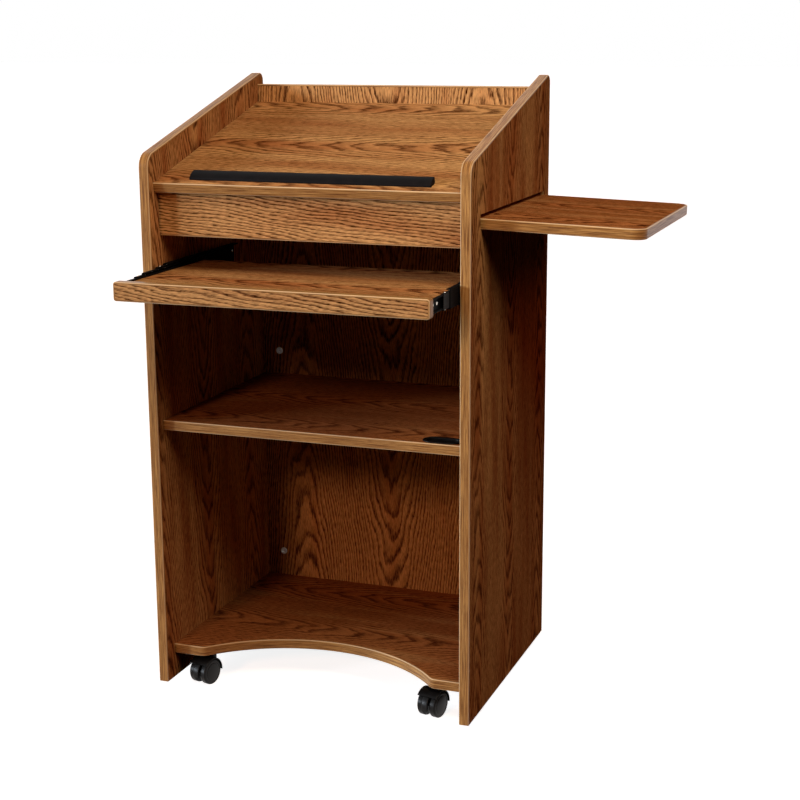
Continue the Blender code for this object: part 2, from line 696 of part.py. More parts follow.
def build_side_shelf(root, panel):
    """The side shelf with its band and stop, and the slot in the panel that it runs through."""
    low = (SIDE_IN - CUT_PAST, SHELF_FRONT - SHELF_SLOT_END_GAP, SHELF_SLOT_BOTTOM)
    high = (SIDE_OUT + CUT_PAST, SHELF_REAR + SHELF_SLOT_END_GAP, SHELF_SLOT_TOP)
    slot = cutter("shelf_slot", box_mesh("shelf_slot", span(low, high)), root, middle(low, high))
    boolean(panel, slot)

    seat = (SIDE_OUT, 0, SHELF_SLOT_BOTTOM + SEAM)
    slide = empty("side_shelf_slide", root, seat, (0, SHELF_DROOP, 0))
    at = (0, 0, BOARD / 2)
    path = rounded(shelf_outline(BAND), closed=False)
    edge_band("side_shelf_band", path, BOARD, slide, at)
    board = flat_outline("side_shelf", rounded(shelf_outline(BAND + SEAM)), BOARD)
    add("side_shelf", board, OAK, slide, at)
    stop_face = -(SHELF_BEARING + SEAM) / cos(SHELF_DROOP)
    low = (stop_face - STOP_WIDTH, SHELF_FRONT + BAND, -SEAM - STOP_HEIGHT)
    add_box("side_shelf_stop", low, (stop_face, SHELF_REAR - BAND, -SEAM), RAW_BOARD, slide)


def build_shelf_guides(root):
    """Battens on the cabinet, over and under the side shelf's front and rear edges."""
    left, right = SIDE_IN - GUIDE_LENGTH, SIDE_IN - SEAM
    reaches = {
        "front": (APRON_FACE + BOARD + SEAM, SHELF_FRONT + GUIDE_LAP),
        "rear": (SHELF_REAR - GUIDE_LAP, BOARD_REAR),
    }
    bottoms = {"lower": SHELF_SLOT_BOTTOM - GUIDE_HEIGHT, "upper": SHELF_SLOT_TOP}
    for where, (near, far) in reaches.items():
        for level, bottom in bottoms.items():
            low, high = (left, near, bottom), (right, far, bottom + GUIDE_HEIGHT)
            add_box(f"{where}_{level}_shelf_guide", low, high, RAW_BOARD, root)


def wheel_profile():
    """Half section of a wheel (radius, z): outer face at the top, blind bore from below."""
    top, bottom = WHEEL_WIDTH / 2, -WHEEL_WIDTH / 2
    face = WHEEL_RADIUS - WHEEL_EDGE
    bulge = (WHEEL_DOME**2 + face**2) / (2 * WHEEL_DOME)  # radius of the domed face
    dome = arc((0, top - bulge), bulge, pi / 2, acos(face / bulge), SMALL_STEPS)
    upper = arc((face, top - WHEEL_DOME - WHEEL_EDGE), WHEEL_EDGE, pi / 2, 0, SMALL_STEPS)
    lower = arc((face, bottom + WHEEL_EDGE), WHEEL_EDGE, 0, -pi / 2, SMALL_STEPS)
    bore = AXLE_RADIUS + SEAM
    bore_end = top - WHEEL_DOME - AXLE_SKIN
    middle_of_face = [(0, top)]
    return middle_of_face + dome[1:-1] + upper + lower + [(bore, bottom), (bore, bore_end), (0, bore_end)]


def ring_sector(inner, outer, start, end, steps):
    """A slice of a ring about the axle, in (Y, Z)."""
    return arc((0, 0), outer, start, end, steps) + arc((0, 0), inner, end, start, steps)


def caster_hood(name, swivel, axle, with_lever):
    """The moulded hood: a solid slice, from which wheel wells, bores and the lever's slot are cut."""
    pie = [(0, 0)] + arc((0, 0), HOOD_RADIUS, HOOD_REAR_ANGLE, HOOD_FRONT_ANGLE, HOOD_STEPS)
    hood = add(name, flat_mesh(name, pie, HOOD_WIDTH), BLACK_PLASTIC, swivel, axle, UPRIGHT_YZ)
    hub = rod_mesh(name + "_hub", HUB_RADIUS, WEB_WIDTH)
    boolean(hood, cutter(name + "_hub", hub, swivel, axle, UPRIGHT_YZ), "UNION")
    top = PLATE_TOP - PLATE_THICKNESS - SEAM
    low = WHEEL_RADIUS + HUB_RADIUS / 2
    socket = rod_mesh(name + "_socket", KINGPIN_RADIUS + SEAM + SOCKET_WALL, top - low)
    boolean(hood, cutter(name + "_socket", socket, swivel, (0, 0, (top + low) / 2)), "UNION")
    well = rod_mesh(name + "_well", WHEEL_RADIUS + HOOD_GAP, WHEEL_WIDTH + CUT_PAST)
    for side in (-1, 1):
        at = (side * (WEB_WIDTH + WHEEL_WIDTH + CUT_PAST) / 2, axle[1], axle[2])
        boolean(hood, cutter(f"{name}_well{side}", well, swivel, at, UPRIGHT_YZ))
    bore = rod_mesh(name + "_axle_bore", AXLE_RADIUS + SEAM, HOOD_WIDTH)
    boolean(hood, cutter(name + "_axle_bore", bore, swivel, axle, UPRIGHT_YZ))
    bore_end = PLATE_TOP - PLATE_THICKNESS - KINGPIN_LENGTH - SEAM
    bore = rod_mesh(name + "_pin_bore", KINGPIN_RADIUS + SEAM, top + CUT_PAST - bore_end)
    at = (0, 0, (top + CUT_PAST + bore_end) / 2)
    boolean(hood, cutter(name + "_pin_bore", bore, swivel, at))
    if with_lever:
        cut_lever_seat(hood, name, swivel, axle)


def lever_pivot(axle):
    y, z = polar(LEVER_PIVOT_RADIUS, LEVER_PIVOT_ANGLE)
    return (0, axle[1] + y, axle[2] + z)


def cut_lever_seat(hood, name, swivel, axle):
    """A slot in the web, under the hood's skin, for the lever's arm, and the hole for its pin."""
    room = LEVER_HUB + LEVER_GAP
    start = LEVER_PIVOT_ANGLE - asin(room / LEVER_PIVOT_RADIUS)
    inner, outer = LEVER_PIVOT_RADIUS - room, HOOD_RADIUS - HOOD_WALL
    outline = ring_sector(inner, outer, start, PAD_END_ANGLE, ARC_STEPS)
    slot = flat_mesh(name + "_lever_slot", outline, LEVER_WIDTH + 2 * LEVER_GAP)
    boolean(hood, cutter(name + "_lever_slot", slot, swivel, axle, UPRIGHT_YZ))
    hole = rod_mesh(name + "_lever_hole", LEVER_PIN_RADIUS + SEAM, HOOD_WIDTH, PIN_SIDES)
    boolean(hood, cutter(name + "_lever_hole", hole, swivel, lever_pivot(axle), UPRIGHT_YZ))


def tapered_bar(tip, hub_radius, tip_radius):
    """Outline of a bar from the origin to the tip, round at both ends."""
    along = atan2(tip[1], tip[0])
    lean = acos((hub_radius - tip_radius) / hypot(*tip))
    hub = arc((0, 0), hub_radius, along + lean, along + 2 * pi - lean, ARC_STEPS)
    return hub + arc(tip, tip_radius, along - lean, along + lean, CORNER_STEPS)


def build_lever(name, swivel, axle):
    """The brake lever: an arm on a pin in the web, and a curved foot pad in front of the hood."""
    pivot = lever_pivot(axle)
    hinge = empty(name + "_hinge", swivel, pivot)
    outer = HOOD_RADIUS + PAD_PROUD
    inner = outer - PAD_THICKNESS
    tip = polar((inner + outer) / 2, LEVER_ARM_ANGLE) - polar(LEVER_PIVOT_RADIUS, LEVER_PIVOT_ANGLE)
    arm = flat_mesh(name, tapered_bar(tip, LEVER_HUB, LEVER_NECK), LEVER_WIDTH)
    lever = add(name, arm, BLACK_PLASTIC, hinge, turn=UPRIGHT_YZ)
    pin = rod_mesh(name + "_pin", LEVER_PIN_RADIUS, WEB_WIDTH - 2 * SEAM, PIN_SIDES)
    boolean(lever, cutter(name + "_pin", pin, hinge, turn=UPRIGHT_YZ), "UNION")
    start = HOOD_FRONT_ANGLE + 2 * LEVER_GAP / inner
    outline = ring_sector(inner, outer, start, PAD_END_ANGLE, ARC_STEPS)
    pad = flat_mesh(name + "_pad", outline, WEB_WIDTH - 2 * SEAM)
    at = (0, axle[1] - pivot[1], axle[2] - pivot[2])
    boolean(lever, cutter(name + "_pad", pad, hinge, at, UPRIGHT_YZ), "UNION")


def build_caster_plate(name, root, x, y):
    """The plate under the base shelf, with the kingpin that the hood turns on."""
    half = PLATE_SIZE / 2
    corners = [(half, half), (-half, half), (-half, -half), (half, -half)]
    outline = rounded([(a, b, PLATE_CORNER) for a, b in corners], steps=SMALL_STEPS)
    z = PLATE_TOP - PLATE_THICKNESS / 2
    plate = add(name, flat_mesh(name, outline, PLATE_THICKNESS), BLACK_STEEL, root, (x, y, z))
    length = PLATE_THICKNESS / 2 + KINGPIN_LENGTH
    pin = rod_mesh(name + "_kingpin", KINGPIN_RADIUS, length, PIN_SIDES)
    boolean(plate, cutter(name + "_kingpin", pin, root, (x, y, z - length / 2)), "UNION")


def build_caster(name, root, x, y, with_lever):
    build_caster_plate(name + "_plate", root, x, y)
    swivel = empty(name + "_swivel", root, (x, y, 0), (0, 0, CASTER_TURN))
    axle = (0, -CASTER_TRAIL, WHEEL_RADIUS)
    caster_hood(name + "_hood", swivel, axle, with_lever)
    wheel_x = WEB_WIDTH / 2 + SEAM + WHEEL_WIDTH / 2
    bore_end = wheel_x + WHEEL_WIDTH / 2 - WHEEL_DOME - AXLE_SKIN
    rod = rod_mesh(name + "_axle", AXLE_RADIUS, 2 * (bore_end - SEAM), PIN_SIDES)
    add(name + "_axle", rod, ZINC, swivel, axle, UPRIGHT_YZ)
    for hand, side in (("left", -1), ("right", 1)):
        spin = empty(f"{name}_{hand}_spin", swivel, (side * wheel_x, axle[1], axle[2]))
        wheel_name = f"{name}_{hand}_wheel"
        profile = profile_mesh(wheel_name, wheel_profile())
        screw(add(wheel_name, profile, BLACK_PLASTIC, spin, turn=(0, side * pi / 2, 0)))
    if with_lever:
        build_lever(name + "_brake_lever", swivel, axle)


def build_casters(root):
    x = SIDE_IN - CASTER_SIDE_GAP
    rear = AUDIENCE_IN - CASTER_END_GAP
    for row, y, with_lever in (("front", CASTER_END_GAP, True), ("rear", rear, False)):
        build_caster(f"{row}_left_caster", root, -x, y, with_lever)
        build_caster(f"{row}_right_caster", root, x, y, with_lever)


def build():
    shelf_end = SIDE_OUT + SHELF_REACH * cos(SHELF_DROOP) + BOARD * sin(SHELF_DROOP)
    centre_x = (shelf_end - SIDE_OUT) / 2
    centre_y = (CABINET_DEPTH - TRAY_REACH) / 2
    root = empty("lectern_origin", None, (-centre_x, -centre_y, 0))
    panels = build_sides(root)
    build_audience_panel(root)
    build_desk(root)
    build_apron(root)
    build_middle_shelf(root)
    build_base_shelf(root)
    tray = build_tray(root)
    build_slide("left", 1, root, tray)
    build_slide("right", -1, root, tray)
    build_side_shelf(root, panels["right"])
    build_shelf_guides(root)
    build_casters(root)


clear_scene()
lectern = new_collection("lectern")
cutters = new_collection("cutters")
build()
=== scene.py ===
import json
from math import acos, asin, cos, degrees, hypot, pi, radians, sin, sqrt, tan

import bmesh
import bpy
import numpy as np
from mathutils import Euler, Matrix, Vector


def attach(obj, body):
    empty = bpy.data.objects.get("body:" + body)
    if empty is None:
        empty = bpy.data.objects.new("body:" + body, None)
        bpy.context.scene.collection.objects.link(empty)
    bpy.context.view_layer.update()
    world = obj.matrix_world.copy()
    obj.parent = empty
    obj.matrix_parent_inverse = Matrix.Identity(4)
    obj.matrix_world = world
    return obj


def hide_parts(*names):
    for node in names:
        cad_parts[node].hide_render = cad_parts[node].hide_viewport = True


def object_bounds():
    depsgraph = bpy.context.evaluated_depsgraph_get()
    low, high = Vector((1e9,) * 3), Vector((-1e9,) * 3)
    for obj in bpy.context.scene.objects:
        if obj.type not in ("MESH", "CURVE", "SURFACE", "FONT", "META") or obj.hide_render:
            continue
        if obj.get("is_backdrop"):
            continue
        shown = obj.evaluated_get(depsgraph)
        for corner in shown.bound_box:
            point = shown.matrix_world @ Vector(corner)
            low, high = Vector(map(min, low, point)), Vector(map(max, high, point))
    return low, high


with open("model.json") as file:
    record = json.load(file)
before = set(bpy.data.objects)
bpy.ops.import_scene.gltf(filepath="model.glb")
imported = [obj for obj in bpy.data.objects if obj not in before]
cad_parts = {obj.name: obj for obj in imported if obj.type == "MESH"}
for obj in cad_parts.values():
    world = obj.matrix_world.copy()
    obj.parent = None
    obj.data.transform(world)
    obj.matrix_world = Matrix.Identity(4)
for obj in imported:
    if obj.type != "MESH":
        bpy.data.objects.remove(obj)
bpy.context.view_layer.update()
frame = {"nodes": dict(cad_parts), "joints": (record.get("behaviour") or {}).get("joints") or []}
nodes = frame["nodes"]

mm = 0.001  # lengths are in metres, so a size in millimetres is written as 3 * mm
seam = 0.3 * mm  # gap between two pieces that touch
weldGap = 0.001 * mm  # points closer than this become one
sharpAngle = 40  # degrees: edges that turn by more than this are shaded sharp
xAxis, yAxis, zAxis = np.eye(3)


# Colours and nodes

def linear(text):
    # "#rrggbb" in sRGB to linear light, with alpha 1
    parts = np.array([int(text[i:i + 2], 16) for i in (1, 3, 5)]) / 255
    light = np.where(parts <= 0.04045, parts / 12.92, ((parts + 0.055) / 1.055) ** 2.4)
    return (*light.tolist(), 1.0)


def newMaterial(name):
    # a material, its tree and its shader
    made = bpy.data.materials.new(name)
    made.use_nodes = True
    return made, made.node_tree, made.node_tree.nodes["Principled BSDF"]


def setInputs(tree, node, values):
    # sets each socket named to its value, or links it to another node's output
    for key, value in values.items():
        if isinstance(value, bpy.types.NodeSocket):
            tree.links.new(value, node.inputs[key])
        else:
            node.inputs[key].default_value = value


def addNode(tree, kind, inputs=None, stops=None, **settings):
    # adds a node with settings, values or links by socket and a ramp's stops, and gives its outputs
    made = tree.nodes.new(kind)
    for key, value in settings.items():
        setattr(made, key, value)
    setInputs(tree, made, inputs or {})
    if stops:
        ramp = made.color_ramp.elements
        while len(ramp) < len(stops):
            ramp.new(0.5)
        for element, (place, colour) in zip(ramp, stops):
            element.position = place
            element.color = linear(colour) if isinstance(colour, str) else (colour, colour, colour, 1)
    return made.outputs


# Surfaces

def patch(grid, wrapRows=False, wrapCols=False, caps=False, uv=None):
    # A grid of points (rows, columns, xyz) as quads between neighbours. A wrapped direction joins
    # its last line to its first, and caps close the first and last rows with a flat face each.
    rows, cols = grid.shape[:2]
    index = np.arange(rows * cols).reshape(rows, cols)
    index = np.vstack([index, index[:1]]) if wrapRows else index
    index = np.hstack([index, index[:, :1]]) if wrapCols else index
    corners = [index[:-1, :-1], index[:-1, 1:], index[1:, 1:], index[1:, :-1]]
    faces = np.stack(corners, 2).reshape(-1, 4).tolist()
    marks = np.zeros((0, 2))
    if uv is not None:
        marks = np.stack([uv[:-1, :-1], uv[:-1, 1:], uv[1:, 1:], uv[1:, :-1]], 2).reshape(-1, 2)
    if caps:
        ends = [np.arange(cols)[::-1], np.arange(cols) + (rows - 1) * cols]
        faces += [end.tolist() for end in ends]
        if uv is not None:
            marks = np.vstack([marks, uv[0, :cols][::-1], uv[-1, :cols]])
    return {"points": grid.reshape(-1, 3), "faces": faces, "uv": marks}


def pieceName(node):
    # desk_front_band becomes deskFrontBand
    first, *rest = node.split("_")
    return first + "".join(word.title() for word in rest)


def buildPiece(name, patches, material, body, replaced=()):
    # joins patches into one closed mesh with its faces outwards, and hands it to the frame
    shift = np.cumsum([0] + [len(p["points"]) for p in patches])
    points = np.vstack([p["points"] for p in patches])
    faces = [[i + s for i in face] for p, s in zip(patches, shift) for face in p["faces"]]
    mesh = bpy.data.meshes.new(name)
    mesh.from_pydata(points.tolist(), [], faces)
    if all(len(p["uv"]) for p in patches):
        marks = np.vstack([p["uv"] for p in patches])
        mesh.uv_layers.new(name="grain").data.foreach_set("uv", marks.ravel())
    work = bmesh.new()
    work.from_mesh(mesh)
    bmesh.ops.remove_doubles(work, verts=work.verts, dist=weldGap)
    bmesh.ops.recalc_face_normals(work, faces=work.faces)
    work.to_mesh(mesh)
    work.free()
    mesh.shade_smooth()
    mesh.set_sharp_from_angle(angle=radians(sharpAngle))
    mesh.materials.append(material)
    made = bpy.data.objects.new(name, mesh)
    bpy.context.scene.collection.objects.link(made)
    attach(made, body)
    if replaced:
        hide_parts(*replaced)


def dress(name, material):
    # gives a CAD solid its finish
    nodes[name].data.materials.clear()
    nodes[name].data.materials.append(material)


def bounds(name, turn=None):
    # lowest and highest corner of a node, in the world or in a frame turned by a 3x3 matrix
    co = np.empty(len(nodes[name].data.vertices) * 3)
    nodes[name].data.vertices.foreach_get("co", co)
    co = co.reshape(-1, 3) if turn is None else co.reshape(-1, 3) @ turn.T
    return co.min(0), co.max(0)


def arcLine(centre, radius, start, end, steps):
    # points at even turns round a circle, both ends included
    turn = np.linspace(start, end, steps + 1)
    return np.stack([centre[0] + radius * np.cos(turn), centre[1] + radius * np.sin(turn)], 1)


def filletLine(corners, closed=False, steps=6):
    # straight runs between corners (x, y, radius), with an arc at each corner that has a radius:
    # its centre is on the corner's bisector, at radius / sin(half the corner's angle)
    places = np.array([c[:2] for c in corners], float)
    line = []
    for i, (here, (_, _, radius)) in enumerate(zip(places, corners)):
        if radius <= 0 or (not closed and i in (0, len(corners) - 1)):
            line.append(here[None])
            continue
        back = places[i - 1] - here
        ahead = places[(i + 1) % len(corners)] - here
        back, ahead = back / np.linalg.norm(back), ahead / np.linalg.norm(ahead)
        half = acos(np.clip(back @ ahead, -1, 1)) / 2
        bisector = (back + ahead) / np.linalg.norm(back + ahead)
        centre = here + bisector * radius / sin(half)
        first = here + back * radius / tan(half) - centre
        last = here + ahead * radius / tan(half) - centre
        start = np.arctan2(first[1], first[0])
        turn = np.arctan2(first[0] * last[1] - first[1] * last[0], first @ last)
        line.append(arcLine(centre, radius, start, start + turn, steps))
    return np.vstack(line)


def stripSection(depth, half, edges, steps=6):
    # a flat strip's closed section, with one radius for its two inner edges and one for its outer ones
    inner, outer = edges
    corners = [(0, -half, inner), (depth, -half, outer), (depth, half, outer), (0, half, inner)]
    return filletLine(corners, closed=True, steps=steps)


def lengthAlong(line, closed=False):
    # distance from the first point to each, and back to the first if the line is closed
    ring = np.vstack([line, line[:1]]) if closed else line
    return np.concatenate([[0], np.cumsum(np.linalg.norm(np.diff(ring, axis=0), axis=1))])


def inPlane(line, origin, first, second):
    # a flat line (a, b) in space: origin + a * first + b * second
    return origin + line[:, :1] * first + line[:, 1:] * second


def sweep(path, profile, across, closed=False, grainStart=0.0):
    # Carries a closed profile (out, over) along a flat path:
    # point = path + out * path's normal + over * across. UV is length along and length around.
    around = np.roll(path, -1, 0) - np.roll(path, 1, 0)
    if not closed:
        around[0], around[-1] = path[1] - path[0], path[-1] - path[-2]
    normal = np.cross(around / np.linalg.norm(around, axis=1, keepdims=True), across)
    out, over = profile[:, 0], profile[:, 1]
    grid = path[:, None] + out[None, :, None] * normal[:, None] + over[None, :, None] * across
    along, girth = lengthAlong(path, closed) + grainStart, lengthAlong(profile, True)
    uv = np.stack(np.meshgrid(along, girth, indexing="ij"), 2)
    return patch(grid, wrapRows=closed, wrapCols=True, caps=not closed, uv=uv)


def turned(profile, centre, axis, side, steps):
    # Turns a half section (radius, height) about an axis: point = centre + height * axis
    # + radius * (cos(turn) * side + sin(turn) * third axis). A zero radius closes to a pole.
    turn = np.linspace(0, 2 * pi, steps, endpoint=False)
    third = np.cross(axis, side)
    spoke = np.cos(turn)[:, None] * side + np.sin(turn)[:, None] * third
    grid = centre + profile[:, None, 1:] * axis + profile[:, None, :1] * spoke[None]
    return patch(grid, wrapCols=True)


def prism(outline, low, high):
    # an upright outline (y, z) with straight walls between two places along X
    grid = np.empty((2, len(outline), 3))
    grid[:, :, 0] = [[low], [high]]
    grid[:, :, 1:] = outline[None]
    return patch(grid, wrapCols=True, caps=True)


# Materials

figure = {  # the printed oak: a plain-sawn board's arches and the straight grain between them
    "archRow": 400 * mm,  # between two rows of arches that point the same way
    "rings": 23,  # growth rings between a row that points one way and its neighbour
    "archStep": 60 * mm,  # between two arches of a row
    "sway": 22 * mm,  # how far a row wanders to the side
    "wobble": 1.5,  # unevenness of the rings, in rings
    "growth": 0.28,  # how much some years' rings are wider than others, in rings
    "feather": 0.36,  # ragged edge of a ring, in rings
    "lateShare": 0.8,  # how far late wood goes to the dark tone
    "poreShare": 0.9,  # how far a pore goes to its own tone
    "poreBetween": 0.28,  # strength of the pores outside the late wood
    "chip": 3.2 * mm,  # wood chips of the core
}
oakLumps = {  # length along the grain, width across it and detail of each unevenness of the figure
    "sway": (700 * mm, 250 * mm, 2.0),
    "wobble": (160 * mm, 40 * mm, 2.0),
    "growth": (900 * mm, 12 * mm, 2.0),
    "feather": (30 * mm, 1.2 * mm, 2.0),
    "bold": (300 * mm, 30 * mm, 2.0),  # stretches whose lines are stronger
    "pore": (13 * mm, 1.5 * mm, 1.0),  # real pores are 0.3 mm wide, drawn wider so that they show
    "tone": (500 * mm, 60 * mm, 2.0),
}
oakTones = {"pale": "#d29f66", "ruddy": "#b06f40", "dark": "#4c1c07", "pore": "#2a0c02"}
band = {"thickness": 3 * mm, "edgeRound": 2 * mm, "board": 19 * mm, "roundSteps": 8,
        "milled": 1.6 * mm}  # the pale line's reach to each side of a round's middle
bandLumps = {  # the same for the edge band's print
    "ground": (250 * mm, 6 * mm, 2.0),
    "streak": (70 * mm, 1.1 * mm, 3.0),
    "dash": (14 * mm, 0.9 * mm, 2.0),
}
# the milled tone is paler milled plastic, made paler still as a painted highlight on the rounds
bandTones = {"ground": ("#bf9156", "#ac7c43"), "streak": "#6b4220", "dash": "#5a371d", "milled": "#e2c59b"}


def unevenness(tree, place, lumps):
    # noises with lumps as long along the grain and as wide across it as the table says
    made = {}
    for key, (along, over, detail) in lumps.items():
        scaled = addNode(tree, "ShaderNodeVectorMath", {0: place, 1: (1 / along, 1 / over, 0)},
                         operation="MULTIPLY")[0]
        made[key] = addNode(tree, "ShaderNodeTexNoise", {"Vector": scaled, "Scale": 1.0,
                            "Detail": detail})["Fac"]
    return made


def oakLaminate(name, turn, arch, face, stretch, lean, depth):
    # Oak-grain laminate on chipboard: a matt printed sheet, which gives the eye brown arches and dashes
    # on warm tan, without gloss. Cut edges, where the normal leaves the face's axis, show chips.
    # turn brings the grain to X and the board's width to Y, and arch is a point on a row of arches.
    made, tree, shader = newMaterial(name)
    spin = Euler([radians(a) for a in turn]).to_matrix()
    here = addNode(tree, "ShaderNodeTexCoord")
    spun = addNode(tree, "ShaderNodeMapping", {0: here["Object"], "Rotation": spin.to_euler(),
                   "Scale": [1 / stretch] * 3, "Location": -(spin @ Vector(arch)) / stretch})[0]
    split = addNode(tree, "ShaderNodeSeparateXYZ", {0: spun})
    noise = unevenness(tree, spun, oakLumps)

    # count of rings = rings / 2 * cos(2 pi * (width + sway) / archRow) + length / archStep
    # + wobble + growth + feather
    width = addNode(tree, "ShaderNodeMath", {0: noise["sway"], 1: 2 * figure["sway"], 2: split["Y"]},
                    operation="MULTIPLY_ADD")[0]
    wave = addNode(tree, "ShaderNodeMath", {0: width, 1: 2 * pi / figure["archRow"]},
                   operation="MULTIPLY")[0]
    wave = addNode(tree, "ShaderNodeMath", {0: wave}, operation="COSINE")[0]
    count = addNode(tree, "ShaderNodeMath", {0: wave, 1: figure["rings"] / 2}, operation="MULTIPLY")[0]
    parts = [(split["X"], 1 / figure["archStep"])]
    parts += [(noise[key], 2 * figure[key]) for key in ("wobble", "growth", "feather")]
    for part, scale in parts:
        count = addNode(tree, "ShaderNodeMath", {0: part, 1: scale, 2: count}, operation="MULTIPLY_ADD")[0]

    # late wood is dark at the start of each ring and fades along it, and pores crowd in it
    ring = addNode(tree, "ShaderNodeMath", {0: count}, operation="FRACT")[0]
    late = addNode(tree, "ShaderNodeValToRGB", {0: ring}, stops=[
        (0.0, 1.0), (0.14, 0.94), (0.28, 0.4), (0.55, 0.1), (0.86, 0.0), (0.96, 1.0)])[0]
    bold = addNode(tree, "ShaderNodeMapRange", {0: noise["bold"], 1: 0.3, 2: 0.7, 3: 0.55, 4: 1.0})[0]
    late = addNode(tree, "ShaderNodeMath", {0: late, 1: bold}, operation="MULTIPLY")[0]
    pore = addNode(tree, "ShaderNodeMapRange", {0: noise["pore"], 1: 0.47, 2: 0.54})[0]
    crowd = addNode(tree, "ShaderNodeMath", {0: late, 1: 1 - figure["poreBetween"],
                    2: figure["poreBetween"]}, operation="MULTIPLY_ADD")[0]
    pore = addNode(tree, "ShaderNodeMath", {0: pore, 1: crowd}, operation="MULTIPLY")[0]
    wood = addNode(tree, "ShaderNodeValToRGB", {0: noise["tone"]}, stops=[
        (0.35 + lean, oakTones["pale"]), (0.65 + lean, oakTones["ruddy"])])[0]
    for mask, share, tone in ((late, figure["lateShare"], "dark"), (pore, figure["poreShare"], "pore")):
        mask = addNode(tree, "ShaderNodeMath", {0: mask, 1: share * depth}, operation="MULTIPLY")[0]
        wood = addNode(tree, "ShaderNodeMix", {0: mask, 6: wood, 7: linear(oakTones[tone])},
                       data_type="RGBA")[2]

    chips = addNode(tree, "ShaderNodeTexVoronoi", {"Vector": here["Object"],
                    "Scale": 1 / figure["chip"]})["Color"]
    core = addNode(tree, "ShaderNodeValToRGB", {0: chips}, stops=[
        (0.2, "#8a6a44"), (0.5, "#a98559"), (0.85, "#c4a374")])[0]
    facing = addNode(tree, "ShaderNodeVectorMath", {0: here["Normal"], 1: face},
                     operation="DOT_PRODUCT")["Value"]
    facing = addNode(tree, "ShaderNodeMath", {0: facing}, operation="ABSOLUTE")[0]
    sheet = addNode(tree, "ShaderNodeMath", {0: facing, 1: 0.7}, operation="GREATER_THAN")[0]
    colour = addNode(tree, "ShaderNodeMix", {0: sheet, 6: core, 7: wood}, data_type="RGBA")[2]
    dull = addNode(tree, "ShaderNodeMath", {0: pore, 1: sheet}, operation="MULTIPLY")[0]
    rough = addNode(tree, "ShaderNodeMapRange", {0: dull, 3: 0.55, 4: 0.7})[0]
    bump = addNode(tree, "ShaderNodeBump", {"Height": pore, "Strength": 0.25, "Distance": 0.1 * mm},
                   invert=True)[0]
    setInputs(tree, shader, {"Base Color": colour, "Roughness": rough, "Normal": bump, "IOR": 1.5,
                             "Specular IOR Level": 0.0})
    return made


def oakEdging():
    # Oak-grain PVC edge band: an extruded strip with a printed face, which gives the eye warm tan and
    # fine straight streaks along the strip. Its rounds are milled after gluing, which bares paler plastic;
    # the pale line painted along both rounds is that plastic and also a painted highlight for their glint.
    made, tree, shader = newMaterial("oak_pvc_edging")
    grain = addNode(tree, "ShaderNodeUVMap", uv_map="grain")[0]
    noise = unevenness(tree, grain, bandLumps)

    # pale line = 1 - |distance from the printed face's middle - a round's middle| / reach, at least 0:
    # milled plastic and painted highlight
    soft, halfFace = band["edgeRound"], band["board"] / 2 - band["edgeRound"]
    faceMiddle = band["thickness"] - soft + pi / 2 * soft + halfFace
    roundMiddle = halfFace + pi / 4 * soft
    away = addNode(tree, "ShaderNodeSeparateXYZ", {0: grain})["Y"]
    for middle in (faceMiddle, roundMiddle):
        away = addNode(tree, "ShaderNodeMath", {0: away, 1: middle}, operation="SUBTRACT")[0]
        away = addNode(tree, "ShaderNodeMath", {0: away}, operation="ABSOLUTE")[0]
    milled = addNode(tree, "ShaderNodeMapRange", {0: away, 2: band["milled"], 3: 0.95, 4: 0.0})[0]

    streak = addNode(tree, "ShaderNodeMapRange", {0: noise["streak"], 1: 0.42, 2: 0.6, 4: 0.95})[0]
    dash = addNode(tree, "ShaderNodeMapRange", {0: noise["dash"], 1: 0.56, 2: 0.7, 4: 0.55})[0]
    colour = addNode(tree, "ShaderNodeValToRGB", {0: noise["ground"]}, stops=[
        (0.3, bandTones["ground"][0]), (0.7, bandTones["ground"][1])])[0]
    # the last mix lays the pale line on the rounds: paler milled plastic and painted highlight
    for mask, tone in ((streak, "streak"), (dash, "dash"), (milled, "milled")):
        colour = addNode(tree, "ShaderNodeMix", {0: mask, 6: colour, 7: linear(bandTones[tone])},
                         data_type="RGBA")[2]
    bump = addNode(tree, "ShaderNodeBump", {"Height": dash, "Strength": 0.2, "Distance": 0.08 * mm},
                   invert=True)[0]
    rough = addNode(tree, "ShaderNodeMapRange", {0: streak, 3: 0.3, 4: 0.42})[0]
    setInputs(tree, shader, {"Base Color": colour, "Roughness": rough, "Normal": bump, "IOR": 1.52,
                             "Specular IOR Level": 0.12})
    return made


def rawPoplar():
    # Planed poplar batten, unfinished: dull pale wood with soft darker streaks along X and a slight nap.
    made, tree, shader = newMaterial("planed_poplar")
    here = addNode(tree, "ShaderNodeTexCoord")["Object"]
    along = addNode(tree, "ShaderNodeVectorMath", {0: here, 1: (1 / (90 * mm), 1 / (3 * mm), 1 / (3 * mm))},
                    operation="MULTIPLY")[0]
    streak = addNode(tree, "ShaderNodeTexNoise", {"Vector": along, "Scale": 1.0, "Detail": 3.0})["Fac"]
    colour = addNode(tree, "ShaderNodeValToRGB", {0: streak}, stops=[
        (0.3, "#cfae7e"), (0.55, "#bf9a69"), (0.75, "#a07c50")])[0]
    bump = addNode(tree, "ShaderNodeBump", {"Height": streak, "Strength": 0.3, "Distance": 0.15 * mm})
    setInputs(tree, shader, {"Base Color": colour, "Roughness": 0.8, "Normal": bump[0],
                             "Specular IOR Level": 0.2})
    return made


